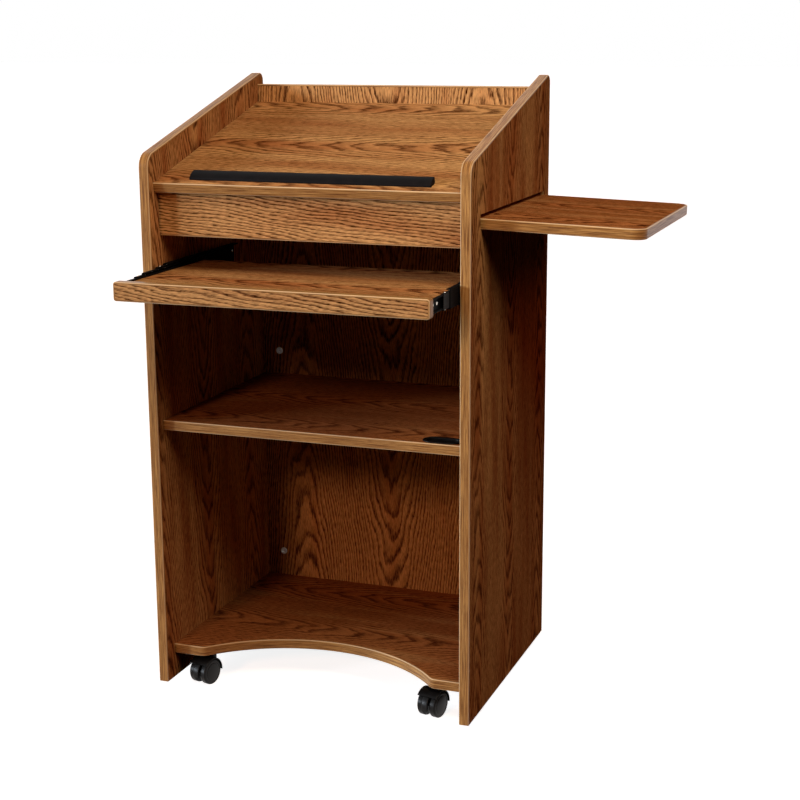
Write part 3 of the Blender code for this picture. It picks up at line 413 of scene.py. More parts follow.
def mouldedBlack(name, tones, rough, grit, specular, depth):
    # Black moulded plastic or rubber: nearly even black with a fine moulded grit, which softens its
    # highlights, and slight dull patches from handling.
    made, tree, shader = newMaterial(name)
    here = addNode(tree, "ShaderNodeTexCoord")["Object"]
    patchy = addNode(tree, "ShaderNodeTexNoise", {"Vector": here, "Scale": 1 / (18 * mm),
                     "Detail": 3.0})["Fac"]
    fine = addNode(tree, "ShaderNodeTexNoise", {"Vector": here, "Scale": 1 / grit})["Fac"]
    colour = addNode(tree, "ShaderNodeValToRGB", {0: patchy}, stops=[(0.3, tones[0]), (0.7, tones[1])])
    gloss = addNode(tree, "ShaderNodeMapRange", {0: patchy, 1: 0.3, 2: 0.7, 3: rough[0], 4: rough[1]})
    bump = addNode(tree, "ShaderNodeBump", {"Height": fine, "Strength": 0.3, "Distance": depth})
    setInputs(tree, shader, {"Base Color": colour[0], "Roughness": gloss[0],
                             "Normal": bump[0], "IOR": 1.5, "Specular IOR Level": specular})
    return made


def finishedMetal(name, tones, rough, metallic, specular=0.5):
    # Rolled or cast metal under its finish: a black coat or phosphate hides the metal and is dark and
    # dull, and bright zinc shines. All show faint lines along Y and a slight cloudiness.
    made, tree, shader = newMaterial(name)
    here = addNode(tree, "ShaderNodeTexCoord")["Object"]
    rolled = addNode(tree, "ShaderNodeVectorMath", {0: here, 1: (1 / mm, 1 / (40 * mm), 1 / mm)},
                     operation="MULTIPLY")[0]
    lines = addNode(tree, "ShaderNodeTexNoise", {"Vector": rolled, "Scale": 1.0})["Fac"]
    cloud = addNode(tree, "ShaderNodeTexNoise", {"Vector": here, "Scale": 1 / (8 * mm)})["Fac"]
    colour = addNode(tree, "ShaderNodeValToRGB", {0: cloud}, stops=[(0.3, tones[0]), (0.7, tones[1])])
    gloss = addNode(tree, "ShaderNodeMapRange", {0: lines, 1: 0.3, 2: 0.7, 3: rough[0], 4: rough[1]})
    bump = addNode(tree, "ShaderNodeBump", {"Height": lines, "Strength": 0.15, "Distance": 0.05 * mm})
    setInputs(tree, shader, {"Base Color": colour[0], "Roughness": gloss[0],
                             "Normal": bump[0], "Metallic": metallic, "Specular IOR Level": specular})
    return made


edging = oakEdging()
poplar = rawPoplar()
rubber = mouldedBlack("black_rubber", ("#0c0b0c", "#131112"), (0.5, 0.62), 0.9 * mm, 0.045, 0.05 * mm)
nylon = mouldedBlack("black_nylon", ("#090808", "#0e0d0d"), (0.28, 0.38), 0.8 * mm, 0.11, 0.02 * mm)
blackSteel = finishedMetal("black_coated_steel", ("#0c0b0c", "#141314"), (0.36, 0.48), 0.0, 0.01)
cageSteel = finishedMetal("phosphated_steel", ("#100f0f", "#191817"), (0.4, 0.5), 0.0, 0.03)
brightSteel = finishedMetal("bright_zinc_steel", ("#b9b7b0", "#cfccc4"), (0.2, 0.32), 1.0)
castZinc = finishedMetal("cast_zinc", ("#cfccc5", "#dedbd4"), (0.34, 0.44), 0.85)

# Boards: the CAD solids get their laminate

upX = (0, 90, 0)  # upright board whose face looks along X, with grain along Z and width along Y
upY = (90, 0, 90)  # upright board whose face looks along Y, with grain along Z and width along X
front = (-90, 0, 0)  # upright board whose face looks along Y, with grain along X and width along Z
flat = (0, 0, 0)  # lying board with grain along X
deskTilt = 15.1  # degrees, the reading desk's slope
shelfAxis = next(j["axis"] for j in frame["joints"] if j["name"] == "side_shelf_slide")
shelfDroop = asin(-shelfAxis[2])

# For most boards lean and depth are the print's own tone. The side shelf's ruddy lean and deep lines partly
# match its stronger grain and partly are painted shade on its top. The audience panel's pale lean is
# painted sheen. The middle and base shelves lean furthest to ruddy.
boards = {  # grain's turn, a row of arches as shares of the board's box, face, stretch of the pattern,
    # lean of the print from ruddy (below 0) to pale, and depth of its lines
    "left_side_panel": (upX, (0.5, 0.43, 0.13), xAxis, 1.0, 0.0, 1.06),
    "right_side_panel": (upX, (0.5, 0.54, 0.31), xAxis, 1.0, 0.02, 1.06),
    "audience_panel": (upY, (0.525, 0.5, 0.2), yAxis, 1.0, 0.17, 1.12),
    "reading_desk": ((-deskTilt, 0, 0), (0.18, 0.52, 0.52), None, 1.1, 0.05, 1.0),
    "apron_panel": (front, (0.4, 0.5, 2.2), yAxis, 1.1, 0.06, 1.12),
    "middle_shelf": (flat, (0.3, 0.62, 0.5), zAxis, 1.0, -0.24, 1.05),
    "base_shelf": (flat, (0.2, 0.88, 0.5), zAxis, 1.0, -0.2, 1.05),
    "keyboard_tray": (flat, (0.3, 0.38, 0.5), zAxis, 1.0, 0.0, 1.15),
    "tray_fascia": (front, (0.1, 0.5, 3.4), yAxis, 1.0, 0.1, 1.12),
    "side_shelf": ((0, -degrees(shelfDroop), 0), (0.6, 0.7, 0.5), None, 1.0, -0.14, 1.25),
}
for name, (turn, share, face, stretch, lean, depth) in boards.items():
    low, high = bounds(name)
    spin = np.array(Euler([radians(a) for a in turn]).to_matrix())
    looks = spin[2] if face is None else face  # a tilted board faces along its turned Z
    arch = low + (high - low) * np.array(share)
    dress(name, oakLaminate("oak_laminate_" + name, turn, arch, looks, stretch, lean, depth))

for name in ("front_lower_shelf_guide", "front_upper_shelf_guide", "rear_lower_shelf_guide",
             "rear_upper_shelf_guide", "side_shelf_stop"):
    dress(name, poplar)
print("boards: %d laminated" % len(boards))

# Edge bands

rollStart = {  # where each strip starts on the printed roll, in metres, so that no two are alike
    "left_side_edge_band": 0.4, "right_side_edge_band": 2.1, "audience_panel_top_band": 4.0,
    "desk_front_band": 5.2, "apron_bottom_band": 6.1, "middle_shelf_band": 7.3,
    "base_shelf_band": 8.6, "tray_fascia_band": 9.7, "side_shelf_band": 11.4,
}
thick = band["thickness"]
slope = radians(deskTilt)


def addBand(name, path, across, body="cabinet", closed=False):
    # path follows the glued face, and the section goes out on the side of cross(path, across)
    section = stripSection(thick, band["board"] / 2, (0, band["edgeRound"]), band["roundSteps"])
    strip = sweep(path, section, across, closed, rollStart[name])
    buildPiece(pieceName(name), [strip], edging, body, [name])


def levelLine(ends, y, z):
    # from one end to the other along X, at one depth and height
    return np.array([[x, y, z] for x in ends])


sideBand = {"frontRadius": 28 * mm, "rearRadius": 15 * mm, "cornerSteps": 24}
for hand in ("left", "right"):
    low, high = bounds(hand + "_side_edge_band")
    rear, near = high[1], low[1]
    # the rounded rear corner's top lies lower than the sharp corner by radius * (tan + 1 / cos - 1)
    corner = high[2] + sideBand["rearRadius"] * (tan(slope) + 1 / cos(slope) - 1)
    drop = thick / cos(slope) + thick * tan(slope)
    rise = (rear - near - 2 * thick) * tan(slope)
    outline = [(rear - thick, low[2], 0), (rear - thick, corner - drop, sideBand["rearRadius"] - thick),
               (near + thick, corner - drop - rise, sideBand["frontRadius"] - thick),
               (near + thick, low[2], 0)]
    middle = np.array([(low[0] + high[0]) / 2, 0, 0])
    path = inPlane(filletLine(outline, steps=sideBand["cornerSteps"]), middle, yAxis, zAxis)
    addBand(hand + "_side_edge_band", path, xAxis)

low, high = bounds("audience_panel_top_band")
addBand("audience_panel_top_band", levelLine((low[0], high[0]), (low[1] + high[1]) / 2, low[2]), yAxis)

low, high = bounds("reading_desk")
alongSlope = np.array([0, cos(slope), sin(slope)])
offSlope = np.array([0, -sin(slope), cos(slope)])
topCorner = np.array([0, low[1], low[2] + band["board"] * cos(slope)])
start = topCorner - seam * alongSlope - band["board"] / 2 * offSlope
addBand("desk_front_band", np.array([start + low[0] * xAxis, start + high[0] * xAxis]), offSlope)

low, high = bounds("apron_bottom_band")
addBand("apron_bottom_band", levelLine((high[0], low[0]), (low[1] + high[1]) / 2, high[2]), yAxis)

low, high = bounds("middle_shelf_band")
addBand("middle_shelf_band", levelLine((low[0], high[0]), high[1], (low[2] + high[2]) / 2), zAxis)

baseArch = {"margin": 64.5 * mm, "depth": 108 * mm, "endRadius": 20 * mm, "endSteps": 16, "steps": 72}


def baseFront(low, high):
    # Straight ends, then a convex corner into one shallow arc of the circle through the arch's ends
    # and crown: radius = (half span ^ 2 + depth ^ 2) / (2 * depth).
    centreX = (low[0] + high[0]) / 2
    halfSpan = (high[0] - low[0]) / 2 + seam - baseArch["margin"]
    radius = (halfSpan**2 + baseArch["depth"] ** 2) / (2 * baseArch["depth"])
    centreY = low[1] + baseArch["depth"] - radius
    soft, edgeY, inner = baseArch["endRadius"] - thick, low[1] + thick, radius + thick
    reach = sqrt((inner + soft) ** 2 - (edgeY + soft - centreY) ** 2)
    turn = np.arctan2(edgeY + soft - centreY, reach)
    left = arcLine((centreX - reach, edgeY + soft), soft, -pi / 2, -turn, baseArch["endSteps"])
    over = arcLine((centreX, centreY), inner, pi - turn, turn, baseArch["steps"])
    right = left[::-1] * [-1, 1] + [2 * centreX, 0]
    ends = np.array([[low[0], edgeY], [high[0], edgeY]])
    return np.vstack([ends[:1], left, over[1:-1], right, ends[1:]])


low, high = bounds("base_shelf_band")
path = inPlane(baseFront(low, high), np.array([0, 0, (low[2] + high[2]) / 2]), xAxis, yAxis)
addBand("base_shelf_band", path, zAxis)

low, high = bounds("tray_fascia_band")
(left, _, bottom), (right, _, top) = low + thick, high - thick
soft = band["edgeRound"]
corners = [(left, bottom, soft), (left, top, soft), (right, top, soft), (right, bottom, soft)]
outline = filletLine(corners, closed=True, steps=band["roundSteps"])
path = inPlane(outline, np.array([0, (low[1] + high[1]) / 2, 0]), xAxis, zAxis)
addBand("tray_fascia_band", path, yAxis, "tray", closed=True)

shelf = {"cornerRadius": 25 * mm, "cornerSteps": 20}
tilt = np.array(Matrix.Rotation(-shelfDroop, 3, "Y"))  # world to the drooping shelf's own frame
low, high = bounds("side_shelf_band", tilt)
soft, near, far, end = shelf["cornerRadius"] - thick, low[1] + thick, high[1] - thick, high[0] - thick
corners = [(low[0], near, 0), (end, near, soft), (end, far, soft), (low[0], far, 0)]
level = tilt.T @ np.array([0, 0, (low[2] + high[2]) / 2])
path = inPlane(filletLine(corners, steps=shelf["cornerSteps"]), level, tilt[0], tilt[1])
addBand("side_shelf_band", path, tilt[2], "side_shelf")
print("edge bands: %d" % len(rollStart))

# Book stop

bookStop = {"edgeRound": 1.5 * mm, "crownEnd": 84, "crownSteps": 26, "endSteps": 8}  # crownEnd in degrees


def addBookStop():
    # A quarter of an ellipse, over = width * (1 - cos t) and rise = height * sin t, with an upright
    # back on the uphill side. Near its ends the section is drawn in by a quarter round.
    turn = np.array([xAxis, alongSlope, offSlope])
    low, high = bounds("book_stop", turn)
    width, height, soft = high[1] - low[1], high[2] - low[2], bookStop["edgeRound"]
    t = np.radians(np.linspace(0, bookStop["crownEnd"], bookStop["crownSteps"]))
    crown = [(width * (1 - cos(a)), height * sin(a), 0) for a in t]
    section = filletLine(crown + [(width, height, soft), (width, 0, 0)], closed=True)
    phase = np.linspace(0, pi / 2, bookStop["endSteps"])
    fromEnd, inset = soft * (1 - np.cos(phase)), soft * (1 - np.sin(phase))
    along = np.concatenate([low[0] + fromEnd, high[0] - fromEnd[::-1]])[:, None]
    inset = np.concatenate([inset, inset[::-1]])[:, None]
    over = low[1] + width / 2 + (section[None, :, 0] - width / 2) * (1 - 2 * inset / width)
    rise = low[2] + section[None, :, 1] * (1 - inset / height)
    grid = np.stack([along + 0 * over, over, rise], 2) @ turn
    buildPiece("bookStop", [patch(grid, wrapCols=True, caps=True)], rubber, "cabinet",
               ["book_stop"])


addBookStop()

# Cable grommet

grommet = {"wall": 2 * mm, "lap": 5 * mm, "flange": 2 * mm, "edge": 1.2 * mm, "wallEdge": 0.4 * mm,
           "lapEdge": 0.3 * mm, "roundSteps": 24, "edgeSteps": 5}


def addGrommet():
    # a flanged section carried round the slot's outline, two half circles joined by straight sides
    low, high = bounds("cable_grommet")
    middle = (low + high) / 2
    radius = (high[1] - low[1]) / 2 - grommet["wall"] - grommet["lap"]
    reach = (high[0] - low[0] - (high[1] - low[1])) / 2
    line = np.vstack([arcLine((reach, 0), radius, -pi / 2, pi / 2, grommet["roundSteps"]),
                      arcLine((-reach, 0), radius, pi / 2, 3 * pi / 2, grommet["roundSteps"])])
    path = inPlane(line, np.array([middle[0], middle[1], 0]), xAxis, yAxis)
    wall, far, seat = grommet["wall"], grommet["wall"] + grommet["lap"], high[2] - grommet["flange"]
    soft, edge = grommet["wallEdge"], grommet["edge"]
    corners = [(0, low[2], soft), (wall, low[2], soft), (wall, seat, 0), (far, seat, grommet["lapEdge"]),
               (far, high[2], edge), (0, high[2], edge)]
    section = filletLine(corners, closed=True, steps=grommet["edgeSteps"])
    ring = sweep(path, section, zAxis, closed=True)
    buildPiece("cableGrommet", [ring], nylon, "cabinet", ["cable_grommet"])


addGrommet()

# Screws and cam locks

crossHead = {  # the recess's arms and soft edge, and where the rim starts to round, in radii
    "arm": 0.14, "reach": 0.55, "soft": 0.06, "rim": 0.96,
    "rimDrop": 0.12,  # in heights of the head
    "rings": 15, "steps": 48,
}


def headSurface(centre, axis, side, head):
    # A round head with a cross recess, over polar coordinates (r, turn):
    # top(r, turn) = height - crown * (r / radius) ^ 2 - recess * cross(r, turn)
    radius, height = head["radius"], head["height"]
    r = np.append(np.linspace(0, crossHead["rim"], crossHead["rings"]), 1.0)[:, None] * radius
    turn = np.linspace(0, 2 * pi, crossHead["steps"], endpoint=False)[None]
    x, y = np.abs(r * np.cos(turn)), np.abs(r * np.sin(turn))
    arm, reach, soft = (crossHead[key] * radius for key in ("arm", "reach", "soft"))
    cross = np.clip((arm - np.minimum(x, y)) / soft + 0.5, 0, 1) * np.clip((reach - r) / soft + 0.5, 0, 1)
    top = height - head["crown"] * (r / radius) ** 2 - head["recess"] * cross
    top[-1] -= crossHead["rimDrop"] * height
    r, top = np.vstack([r, [[radius], [0]]]), np.vstack([top, np.zeros((2, crossHead["steps"]))])
    third = np.cross(axis, side)
    spoke = np.cos(turn)[..., None] * side + np.sin(turn)[..., None] * third
    return patch(centre + r[..., None] * spoke + top[..., None] * axis, wrapCols=True)


camLock = {"radius": 7.5 * mm, "height": 1.0 * mm, "crown": 0.15 * mm, "recess": 0.9 * mm,
           "inset": 36 * mm, "heights": (133 * mm, 582 * mm), "turn": 0.5}  # turn of the cross in radians
low, high = bounds("audience_panel")
seats = [(x, low[1], z) for x in (low[0] + camLock["inset"], high[0] - camLock["inset"])
         for z in camLock["heights"]]
arm = np.array([cos(camLock["turn"]), 0, sin(camLock["turn"])])
locks = [headSurface(np.array(seat), -yAxis, arm, camLock) for seat in seats]
buildPiece("camLocks", locks, castZinc, "cabinet")
print("book stop, grommet and %d cam locks" % len(locks))

# Slides

slides = {"sheet": 1.2 * mm, "bend": 1.6 * mm, "lip": 2.2 * mm, "cageSheet": 0.8 * mm,
          "ball": 3.4 * mm, "pitch": 25.5 * mm, "balls": 5, "ballSteps": (13, 24)}
wallScrew = {"radius": 3.0 * mm, "height": 0.8 * mm, "crown": 0.3 * mm, "recess": 0.6 * mm,
             "fromRear": 9 * mm, "over": 7 * mm}  # over the slide's middle line
trayScrew = {"radius": 3.2 * mm, "height": 1.7 * mm, "crown": 0.8 * mm, "recess": 1.0 * mm,
             "fromFront": (17 * mm, 37.5 * mm), "fromRear": 40 * mm, "over": 1 * mm}


def channelSection(web, edge, half, sheet, lip=0.0):
    # A channel's closed section (x, z): its outer line, then the same line a sheet's thickness
    # further in, walked back. The web is at one side and the flanges, with lips or none, at the other.
    inward = np.sign(edge - web)
    bend = slides["bend"] if sheet > mm else sheet  # a cage's thin sheet bends sharply

    def line(step):
        x0, x1, z, soft = web + inward * step, edge, half - step, bend - step
        x1 = x1 - inward * step if lip else x1
        corners = [(x1, z, soft if lip else 0), (x0, z, soft), (x0, -z, soft), (x1, -z, soft if lip else 0)]
        first, last = (x1, half - lip, 0), (x1, lip - half, 0)
        return filletLine([first, *corners, last] if lip else corners)

    return np.vstack([line(0), line(sheet)[::-1]])


def addMember(node, webSide, lip, body):
    # a rolled channel from end to end of its node, with its web at one side of the node's box
    low, high = bounds(node)
    web, edge = (low[0], high[0]) if webSide < 0 else (high[0], low[0])
    middle = (low[2] + high[2]) / 2
    section = channelSection(web, edge, (high[2] - low[2]) / 2, slides["sheet"], lip)
    path = np.array([[0, low[1], middle], [0, high[1], middle]])
    buildPiece(pieceName(node), [sweep(path, section, zAxis)], blackSteel, body, [node])
    return low, high, web


def ballPatch(centre):
    # a sphere over latitude and longitude
    lat = np.linspace(-pi / 2, pi / 2, slides["ballSteps"][0])[:, None]
    lon = np.linspace(0, 2 * pi, slides["ballSteps"][1], endpoint=False)[None]
    ball = np.stack([np.cos(lat) * np.cos(lon), np.cos(lat) * np.sin(lon), np.sin(lat) + 0 * lon], 2)
    return patch(centre + slides["ball"] / 2 * ball, wrapCols=True)


def addCage(node, webSide, body):
    # a thin channel strip, and its two rows of balls in the races above and below it
    low, high = bounds(node)
    middle, race = (low + high) / 2, (high[2] - low[2] - slides["ball"]) / 2
    web, edge = (low[0], high[0]) if webSide < 0 else (high[0], low[0])
    section = channelSection(web, edge, race + slides["cageSheet"] / 2, slides["cageSheet"])
    path = np.array([[0, low[1], middle[2]], [0, high[1], middle[2]]])
    step = (np.arange(slides["balls"]) - (slides["balls"] - 1) / 2) * slides["pitch"]
    balls = [ballPatch(np.array([middle[0], middle[1] + y, middle[2] + side * race]))
             for y in step for side in (-1, 1)]
    name = pieceName(node)
    buildPiece(name, [sweep(path, section, zAxis)], cageSteel, body, [node])
    buildPiece(name.replace("Cage", "s"), balls, brightSteel, body)


for hand, wall in (("left", -1), ("right", 1)):
    low, high, web = addMember(hand + "_slide_cabinet_member", wall, slides["lip"], "cabinet")
    middle = (low[2] + high[2]) / 2
    seat = np.array([web - wall * slides["sheet"], high[1] - wallScrew["fromRear"],
                     middle + wallScrew["over"]])
    head = headSurface(seat, -wall * xAxis, yAxis, wallScrew)
    buildPiece(hand + "SlideWallScrew", [head], brightSteel, "cabinet")
    addMember(hand + "_slide_intermediate_member", wall, 0.0, hand + "_intermediate")
    low, high, web = addMember(hand + "_slide_tray_member", -wall, 0.0, "tray")
    face = web + wall * slides["sheet"]
    places = [low[1] + y for y in trayScrew["fromFront"]] + [high[1] - trayScrew["fromRear"]]
    heads = [headSurface(np.array([face, y, middle + trayScrew["over"]]), wall * xAxis, yAxis, trayScrew)
             for y in places]
    buildPiece(hand + "SlideTrayScrews", heads, brightSteel, "tray")
    addCage(hand + "_outer_ball_cage", wall, hand + "_outer_cage")
    addCage(hand + "_inner_ball_cage", wall, hand + "_inner_cage")
print("slides: 2, each of 3 members and 2 ball cages")

# Casters

caster = {  # hood and lever angles are in degrees about the axle, up from the kingpin's side
    "turn": -13,  # degrees about the kingpin
    "trail": 21 * mm, "plate": 2.5 * mm, "web": 12.6 * mm, "hub": 8.5 * mm,
    "wheelRadius": 25 * mm, "wheelWidth": 14.2 * mm, "tyreEdge": 2.5 * mm, "dome": 1.5 * mm,
    "grooveAt": 18.5 * mm, "grooveDeep": 0.5 * mm, "grooveWide": 0.7 * mm,
    "hoodRadius": 28.5 * mm, "hoodWall": 2.3 * mm, "hoodFrom": -4, "hoodTo": 138,
    "hoodEdges": (0.3 * mm, 1.4 * mm), "axle": 3 * mm, "axleSkin": 2 * mm,
    "collar": 9.5 * mm, "collarTop": 56.9 * mm, "collarEdge": (0.3 * mm, 1 * mm),
    "collarLow": 14 * mm,  # lowest that the collar reaches, over the axle
    "domeRings": 46, "tyreSteps": 8, "turnSteps": 72, "collarSteps": 48, "hoodSteps": 48, "webSteps": 40,
}
lever = {"pivotAngle": 126, "pivotDepth": 9 * mm, "hub": 3.8 * mm, "neck": 2 * mm, "width": 6.2 * mm,
         "gap": 0.5 * mm, "armAngle": 158, "padProud": 1.5 * mm, "padThick": 4 * mm, "padEnd": 192,
         "padEdges": (0.5 * mm, 1.3 * mm), "seatSteps": (32, 8), "padSteps": 24, "armSteps": (24, 10)}
axleAt = np.array([0, -caster["trail"], caster["wheelRadius"]])


def aboutAxle(radius, start, end, steps):
    # an arc about the axle in the caster's upright plane, between two angles in degrees
    return arcLine(axleAt[1:], radius, radians(start), radians(end), steps)


def wheelPatch(side):
    # Half section turned about the axle. The face is a dome with a notch:
    # height(r) = top - sag * (r / face) ^ 2 - depth * exp(-((r - place) / width) ^ 2)
    half, soft = caster["wheelWidth"] / 2, caster["tyreEdge"]
    face = caster["wheelRadius"] - soft
    r = np.linspace(0, face, caster["domeRings"])
    notch = caster["grooveDeep"] * np.exp(-(((r - caster["grooveAt"]) / caster["grooveWide"]) ** 2))
    dome = np.stack([r, half - caster["dome"] * (r / face) ** 2 - notch], 1)
    upper = arcLine((face, half - caster["dome"] - soft), soft, pi / 2, 0, caster["tyreSteps"])[1:]
    lower = arcLine((face, soft - half), soft, 0, -pi / 2, caster["tyreSteps"])
    bore, end = caster["axle"] + seam, half - caster["dome"] - caster["axleSkin"]
    inside = np.array([[bore, -half], [bore, end], [0, end]])
    middle = axleAt + side * (caster["web"] / 2 + seam + half) * xAxis
    section = np.vstack([dome, upper, lower, inside])
    return turned(section, middle, side * xAxis, yAxis, caster["turnSteps"])


def collarPatch(core):
    # upright wall whose lower rim follows the hood's skin: z = axle + sqrt(core ^ 2 - (y - axle) ^ 2)
    turn = np.linspace(0, 2 * pi, caster["collarSteps"], endpoint=False)
    r, (small, large) = caster["collar"], caster["collarEdge"]
    rings = np.array([0, r, r, r - small, r - large, 0])[:, None]
    x, y = rings * np.cos(turn), rings * np.sin(turn)
    foot = axleAt[2] + np.sqrt(np.maximum(core**2 - (y - axleAt[1]) ** 2, caster["collarLow"] ** 2))
    top = caster["collarTop"] - np.array([[large], [small], [0], [0]])
    z = np.vstack([foot[:2], np.tile(top, (1, caster["collarSteps"]))])
    return patch(np.stack([x, y, z], 2), wrapCols=True)


def hoodPatches(withLever):
    # a skin over the wheels, a web between them with a seat for the lever, and a collar for the kingpin
    outer, wall, web = caster["hoodRadius"], caster["hoodWall"], caster["web"] / 2
    section = stripSection(wall, web + seam + caster["wheelWidth"], caster["hoodEdges"])
    start, end = caster["hoodFrom"], caster["hoodTo"]
    arc = aboutAxle(outer - wall, start, end, caster["hoodSteps"])
    skin = sweep(inPlane(arc, np.zeros(3), yAxis, zAxis), section, xAxis)
    core = outer - wall + wall / 2  # the web runs into the skin
    hub = aboutAxle(caster["hub"], end, 360 + start, caster["webSteps"])
    pie = np.vstack([hub, aboutAxle(core, start, end, caster["webSteps"])])
    if not withLever:
        return [skin, prism(pie, -web, web), collarPatch(core)]
    pivot, room = outer - lever["pivotDepth"], lever["hub"] + lever["gap"]
    seatFrom = lever["pivotAngle"] - degrees(asin(room / pivot))
    notched = np.vstack([hub, aboutAxle(core, start, seatFrom, lever["seatSteps"][0]),
                         aboutAxle(pivot - room, seatFrom, end, lever["seatSteps"][1])])
    cheek = lever["width"] / 2 + lever["gap"]
    webs = [prism(pie, -web, -cheek), prism(notched, -cheek, cheek), prism(pie, cheek, web)]
    return [skin] + webs + [collarPatch(core)]


def leverPatches():
    # a curved foot pad in front of the hood, on an arm that tapers from its pivot in the web
    outer = caster["hoodRadius"] + lever["padProud"]
    inner = outer - lever["padThick"]
    section = stripSection(lever["padThick"], caster["web"] / 2 - seam, lever["padEdges"])
    start = caster["hoodTo"] + degrees(2 * lever["gap"] / inner)
    arc = inPlane(aboutAxle(inner, start, lever["padEnd"], lever["padSteps"]), np.zeros(3), yAxis, zAxis)
    pad = sweep(arc, section, xAxis)
    radius, angle = caster["hoodRadius"] - lever["pivotDepth"], lever["pivotAngle"]
    pivot = aboutAxle(radius, angle, angle, 1)[0]
    tip = aboutAxle((inner + outer) / 2, lever["armAngle"], lever["armAngle"], 1)[0] - pivot
    along = np.arctan2(tip[1], tip[0])
    lean = acos((lever["hub"] - lever["neck"]) / hypot(*tip))
    hubSteps, neckSteps = lever["armSteps"]
    outline = np.vstack([arcLine(pivot, lever["hub"], along + lean, along + 2 * pi - lean, hubSteps),
                         arcLine(pivot + tip, lever["neck"], along - lean, along + lean, neckSteps)])
    return [pad, prism(outline, -lever["width"] / 2, lever["width"] / 2)]


def standing(patches, place):
    # a caster's patches from its own frame to where it stands: turned about the kingpin, then moved
    spin = np.array(Matrix.Rotation(radians(caster["turn"]), 3, "Z"))
    return [{**p, "points": p["points"] @ spin.T + place, "uv": np.zeros((0, 2))} for p in patches]


plateScrew = {"radius": 2.4 * mm, "height": 1.2 * mm, "crown": 0.5 * mm, "recess": 0.7 * mm,
              "inset": 11 * mm}
for row in ("front", "rear"):
    for hand in ("left", "right"):
        name = f"{row}_{hand}_caster"
        low, high = bounds(name + "_plate")
        place = (low + high) / 2 * [1, 1, 0]
        moulded = {"_hood": hoodPatches(row == "front"), "_left_wheel": [wheelPatch(-1)],
                   "_right_wheel": [wheelPatch(1)]}
        if row == "front":
            moulded["_brake_lever"] = leverPatches()
        for part, patches in moulded.items():
            node = name + part
            body = name if part == "_hood" else node
            buildPiece(pieceName(node), standing(patches, place), nylon, body, [node])
        under = place + (high[2] - caster["plate"]) * zAxis
        seats = [under + plateScrew["inset"] * np.array([a, b, 0]) for a in (-1, 1) for b in (-1, 1)]
        heads = [headSurface(seat, -zAxis, xAxis, plateScrew) for seat in seats]
        buildPiece(pieceName(name) + "PlateScrews", heads, brightSteel, "cabinet")
        dress(name + "_plate", blackSteel)
        dress(name + "_axle", brightSteel)
print("casters: 4")

# Camera and light

photo = {  # lens and sensor in mm, angles in degrees, lengths in metres
    "lens": 73.196, "sensor": 36, "azimuth": 20.18, "elevation": 13.21, "roll": -0.31,
    "target": (-0.03899, 0.0455, 0.55751), "distance": 3.12668,
}


def direction(azimuth, elevation):
    # unit vector from the object: azimuth 0 is the speaker's side, 90 is the side shelf's side
    a, e = radians(azimuth), radians(elevation)
    return Vector((sin(a) * cos(e), -cos(a) * cos(e), sin(e)))


def addCamera():
    back = direction(photo["azimuth"], photo["elevation"])
    level = Vector((cos(radians(photo["azimuth"])), sin(radians(photo["azimuth"])), 0))
    turn = Matrix((level, back.cross(level), back)).transposed()
    turn = turn @ Matrix.Rotation(radians(photo["roll"]), 3, "Z")
    place = Vector(photo["target"]) + back * photo["distance"]
    lens = bpy.data.cameras.new("photo_camera")
    lens.lens, lens.sensor_width = photo["lens"], photo["sensor"]
    made = bpy.data.objects.new("photo_camera", lens)
    made.matrix_world = Matrix.Translation(place) @ turn.to_4x4()
    bpy.context.scene.collection.objects.link(made)
    bpy.context.scene.camera = made


suns = {  # azimuth, elevation, strength (1 shows a facing colour as written), softness in degrees, colour
    "key": (-50, 7, 0.54, 10, "#eaf4ff"),
    "left": (-68, 9, 0.60, 16, "#e2eeff"),
    "front": (-8, 25, 0.215, 10, "#ffbc92"),
    "right": (75, 30, 0.10, 30, "#ff8450"),
    "back": (200, 10, 0.54, 20, "#ffe4cb"),
}
softbox = {"azimuth": 39, "distance": 1.4, "height": 2.6, "across": 1.5, "aim": (0, 0, 0.55),
           "strength": 0.57, "colour": "#fff1d4"}
ambient = {"colour": "#ffb070", "strength": 0.003}
paper = {"seen": "#f6f6f6", "bounce": "#3a2618", "lift": 0.86, "reach": 40.0}


def addSuns():
    for name, (azimuth, elevation, strength, softness, colour) in suns.items():
        lamp = bpy.data.lights.new(name + "_light", "SUN")
        lamp.energy, lamp.angle, lamp.color = strength * pi, radians(softness), linear(colour)[:3]
        made = bpy.data.objects.new(name + "_light", lamp)
        made.rotation_euler = direction(azimuth, elevation).to_track_quat("Z", "Y").to_euler()
        made.visible_glossy = name != "back"  # that one only fills the far sides, without glints
        bpy.context.scene.collection.objects.link(made)


def addSoftbox():
    # a round lamp overhead; a disc's power for strength 1 is pi ^ 2 * distance ^ 2
    aim = Vector(softbox["aim"])
    place = direction(softbox["azimuth"], 0) * softbox["distance"] + Vector((0, 0, softbox["height"]))
    lamp = bpy.data.lights.new("softbox", "AREA")
    lamp.shape, lamp.size, lamp.color = "DISK", softbox["across"], linear(softbox["colour"])[:3]
    lamp.energy = softbox["strength"] * (pi * (place - aim).length) ** 2
    made = bpy.data.objects.new("softbox", lamp)
    turn = (place - aim).to_track_quat("Z", "Y").to_matrix()
    made.matrix_world = Matrix.Translation(place) @ turn.to_4x4()
    made.visible_camera = False
    bpy.context.scene.collection.objects.link(made)


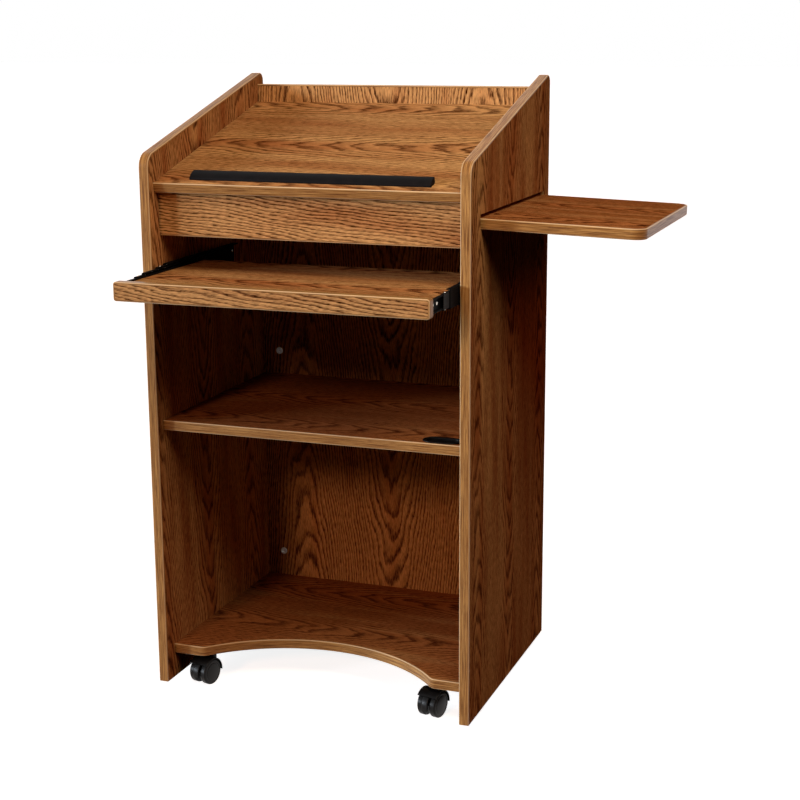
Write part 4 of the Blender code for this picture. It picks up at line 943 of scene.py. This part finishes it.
def seenDirectly(tree):
    # 1 for camera, glossy and transmission rays, which see the white surroundings, and 0 for the rest
    path = addNode(tree, "ShaderNodeLightPath")
    seen = addNode(tree, "ShaderNodeMath", {0: path["Is Camera Ray"], 1: path["Is Glossy Ray"]},
                   operation="MAXIMUM")[0]
    return addNode(tree, "ShaderNodeMath", {0: seen, 1: path["Is Transmission Ray"]},
                   operation="MAXIMUM")[0]


def addSurroundings():
    world = bpy.data.worlds.new("white_surroundings")
    bpy.context.scene.world = world
    world.use_nodes = True
    tree = world.node_tree
    dim = addNode(tree, "ShaderNodeBackground", {0: linear(ambient["colour"]), 1: ambient["strength"]})
    white = addNode(tree, "ShaderNodeBackground", {0: (1, 1, 1, 1), 1: 1.0})
    mixed = addNode(tree, "ShaderNodeMixShader", {0: seenDirectly(tree), 1: dim[0], 2: white[0]})
    tree.links.new(mixed[0], tree.nodes["World Output"].inputs["Surface"])


def addFloor():
    # white paper, lifted to the background's white where it is seen, that throws little light back
    reach = paper["reach"]
    mesh = bpy.data.meshes.new("floor")
    mesh.from_pydata([(-reach, -reach, 0), (reach, -reach, 0), (reach, reach, 0), (-reach, reach, 0)], [],
                     [(0, 1, 2, 3)])
    made, tree, shader = newMaterial("white_paper")
    tree.nodes.remove(shader)
    dull = addNode(tree, "ShaderNodeBsdfDiffuse", {0: linear(paper["bounce"])})
    pale = addNode(tree, "ShaderNodeBsdfDiffuse", {0: linear(paper["seen"])})
    glow = addNode(tree, "ShaderNodeEmission", {0: (1, 1, 1, 1), 1: paper["lift"]})
    lifted = addNode(tree, "ShaderNodeAddShader", {0: pale[0], 1: glow[0]})
    mixed = addNode(tree, "ShaderNodeMixShader", {0: seenDirectly(tree), 1: dull[0], 2: lifted[0]})
    tree.links.new(mixed[0], tree.nodes["Material Output"].inputs["Surface"])
    mesh.materials.append(made)
    floor = bpy.data.objects.new("floor", mesh)
    bpy.context.scene.collection.objects.link(floor)
    floor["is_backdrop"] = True


addCamera()
addSuns()
addSoftbox()
addSurroundings()
addFloor()
bpy.context.scene.view_settings.view_transform = "Standard"
print("camera, %d lights and the floor" % (len(suns) + 1))

low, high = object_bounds()
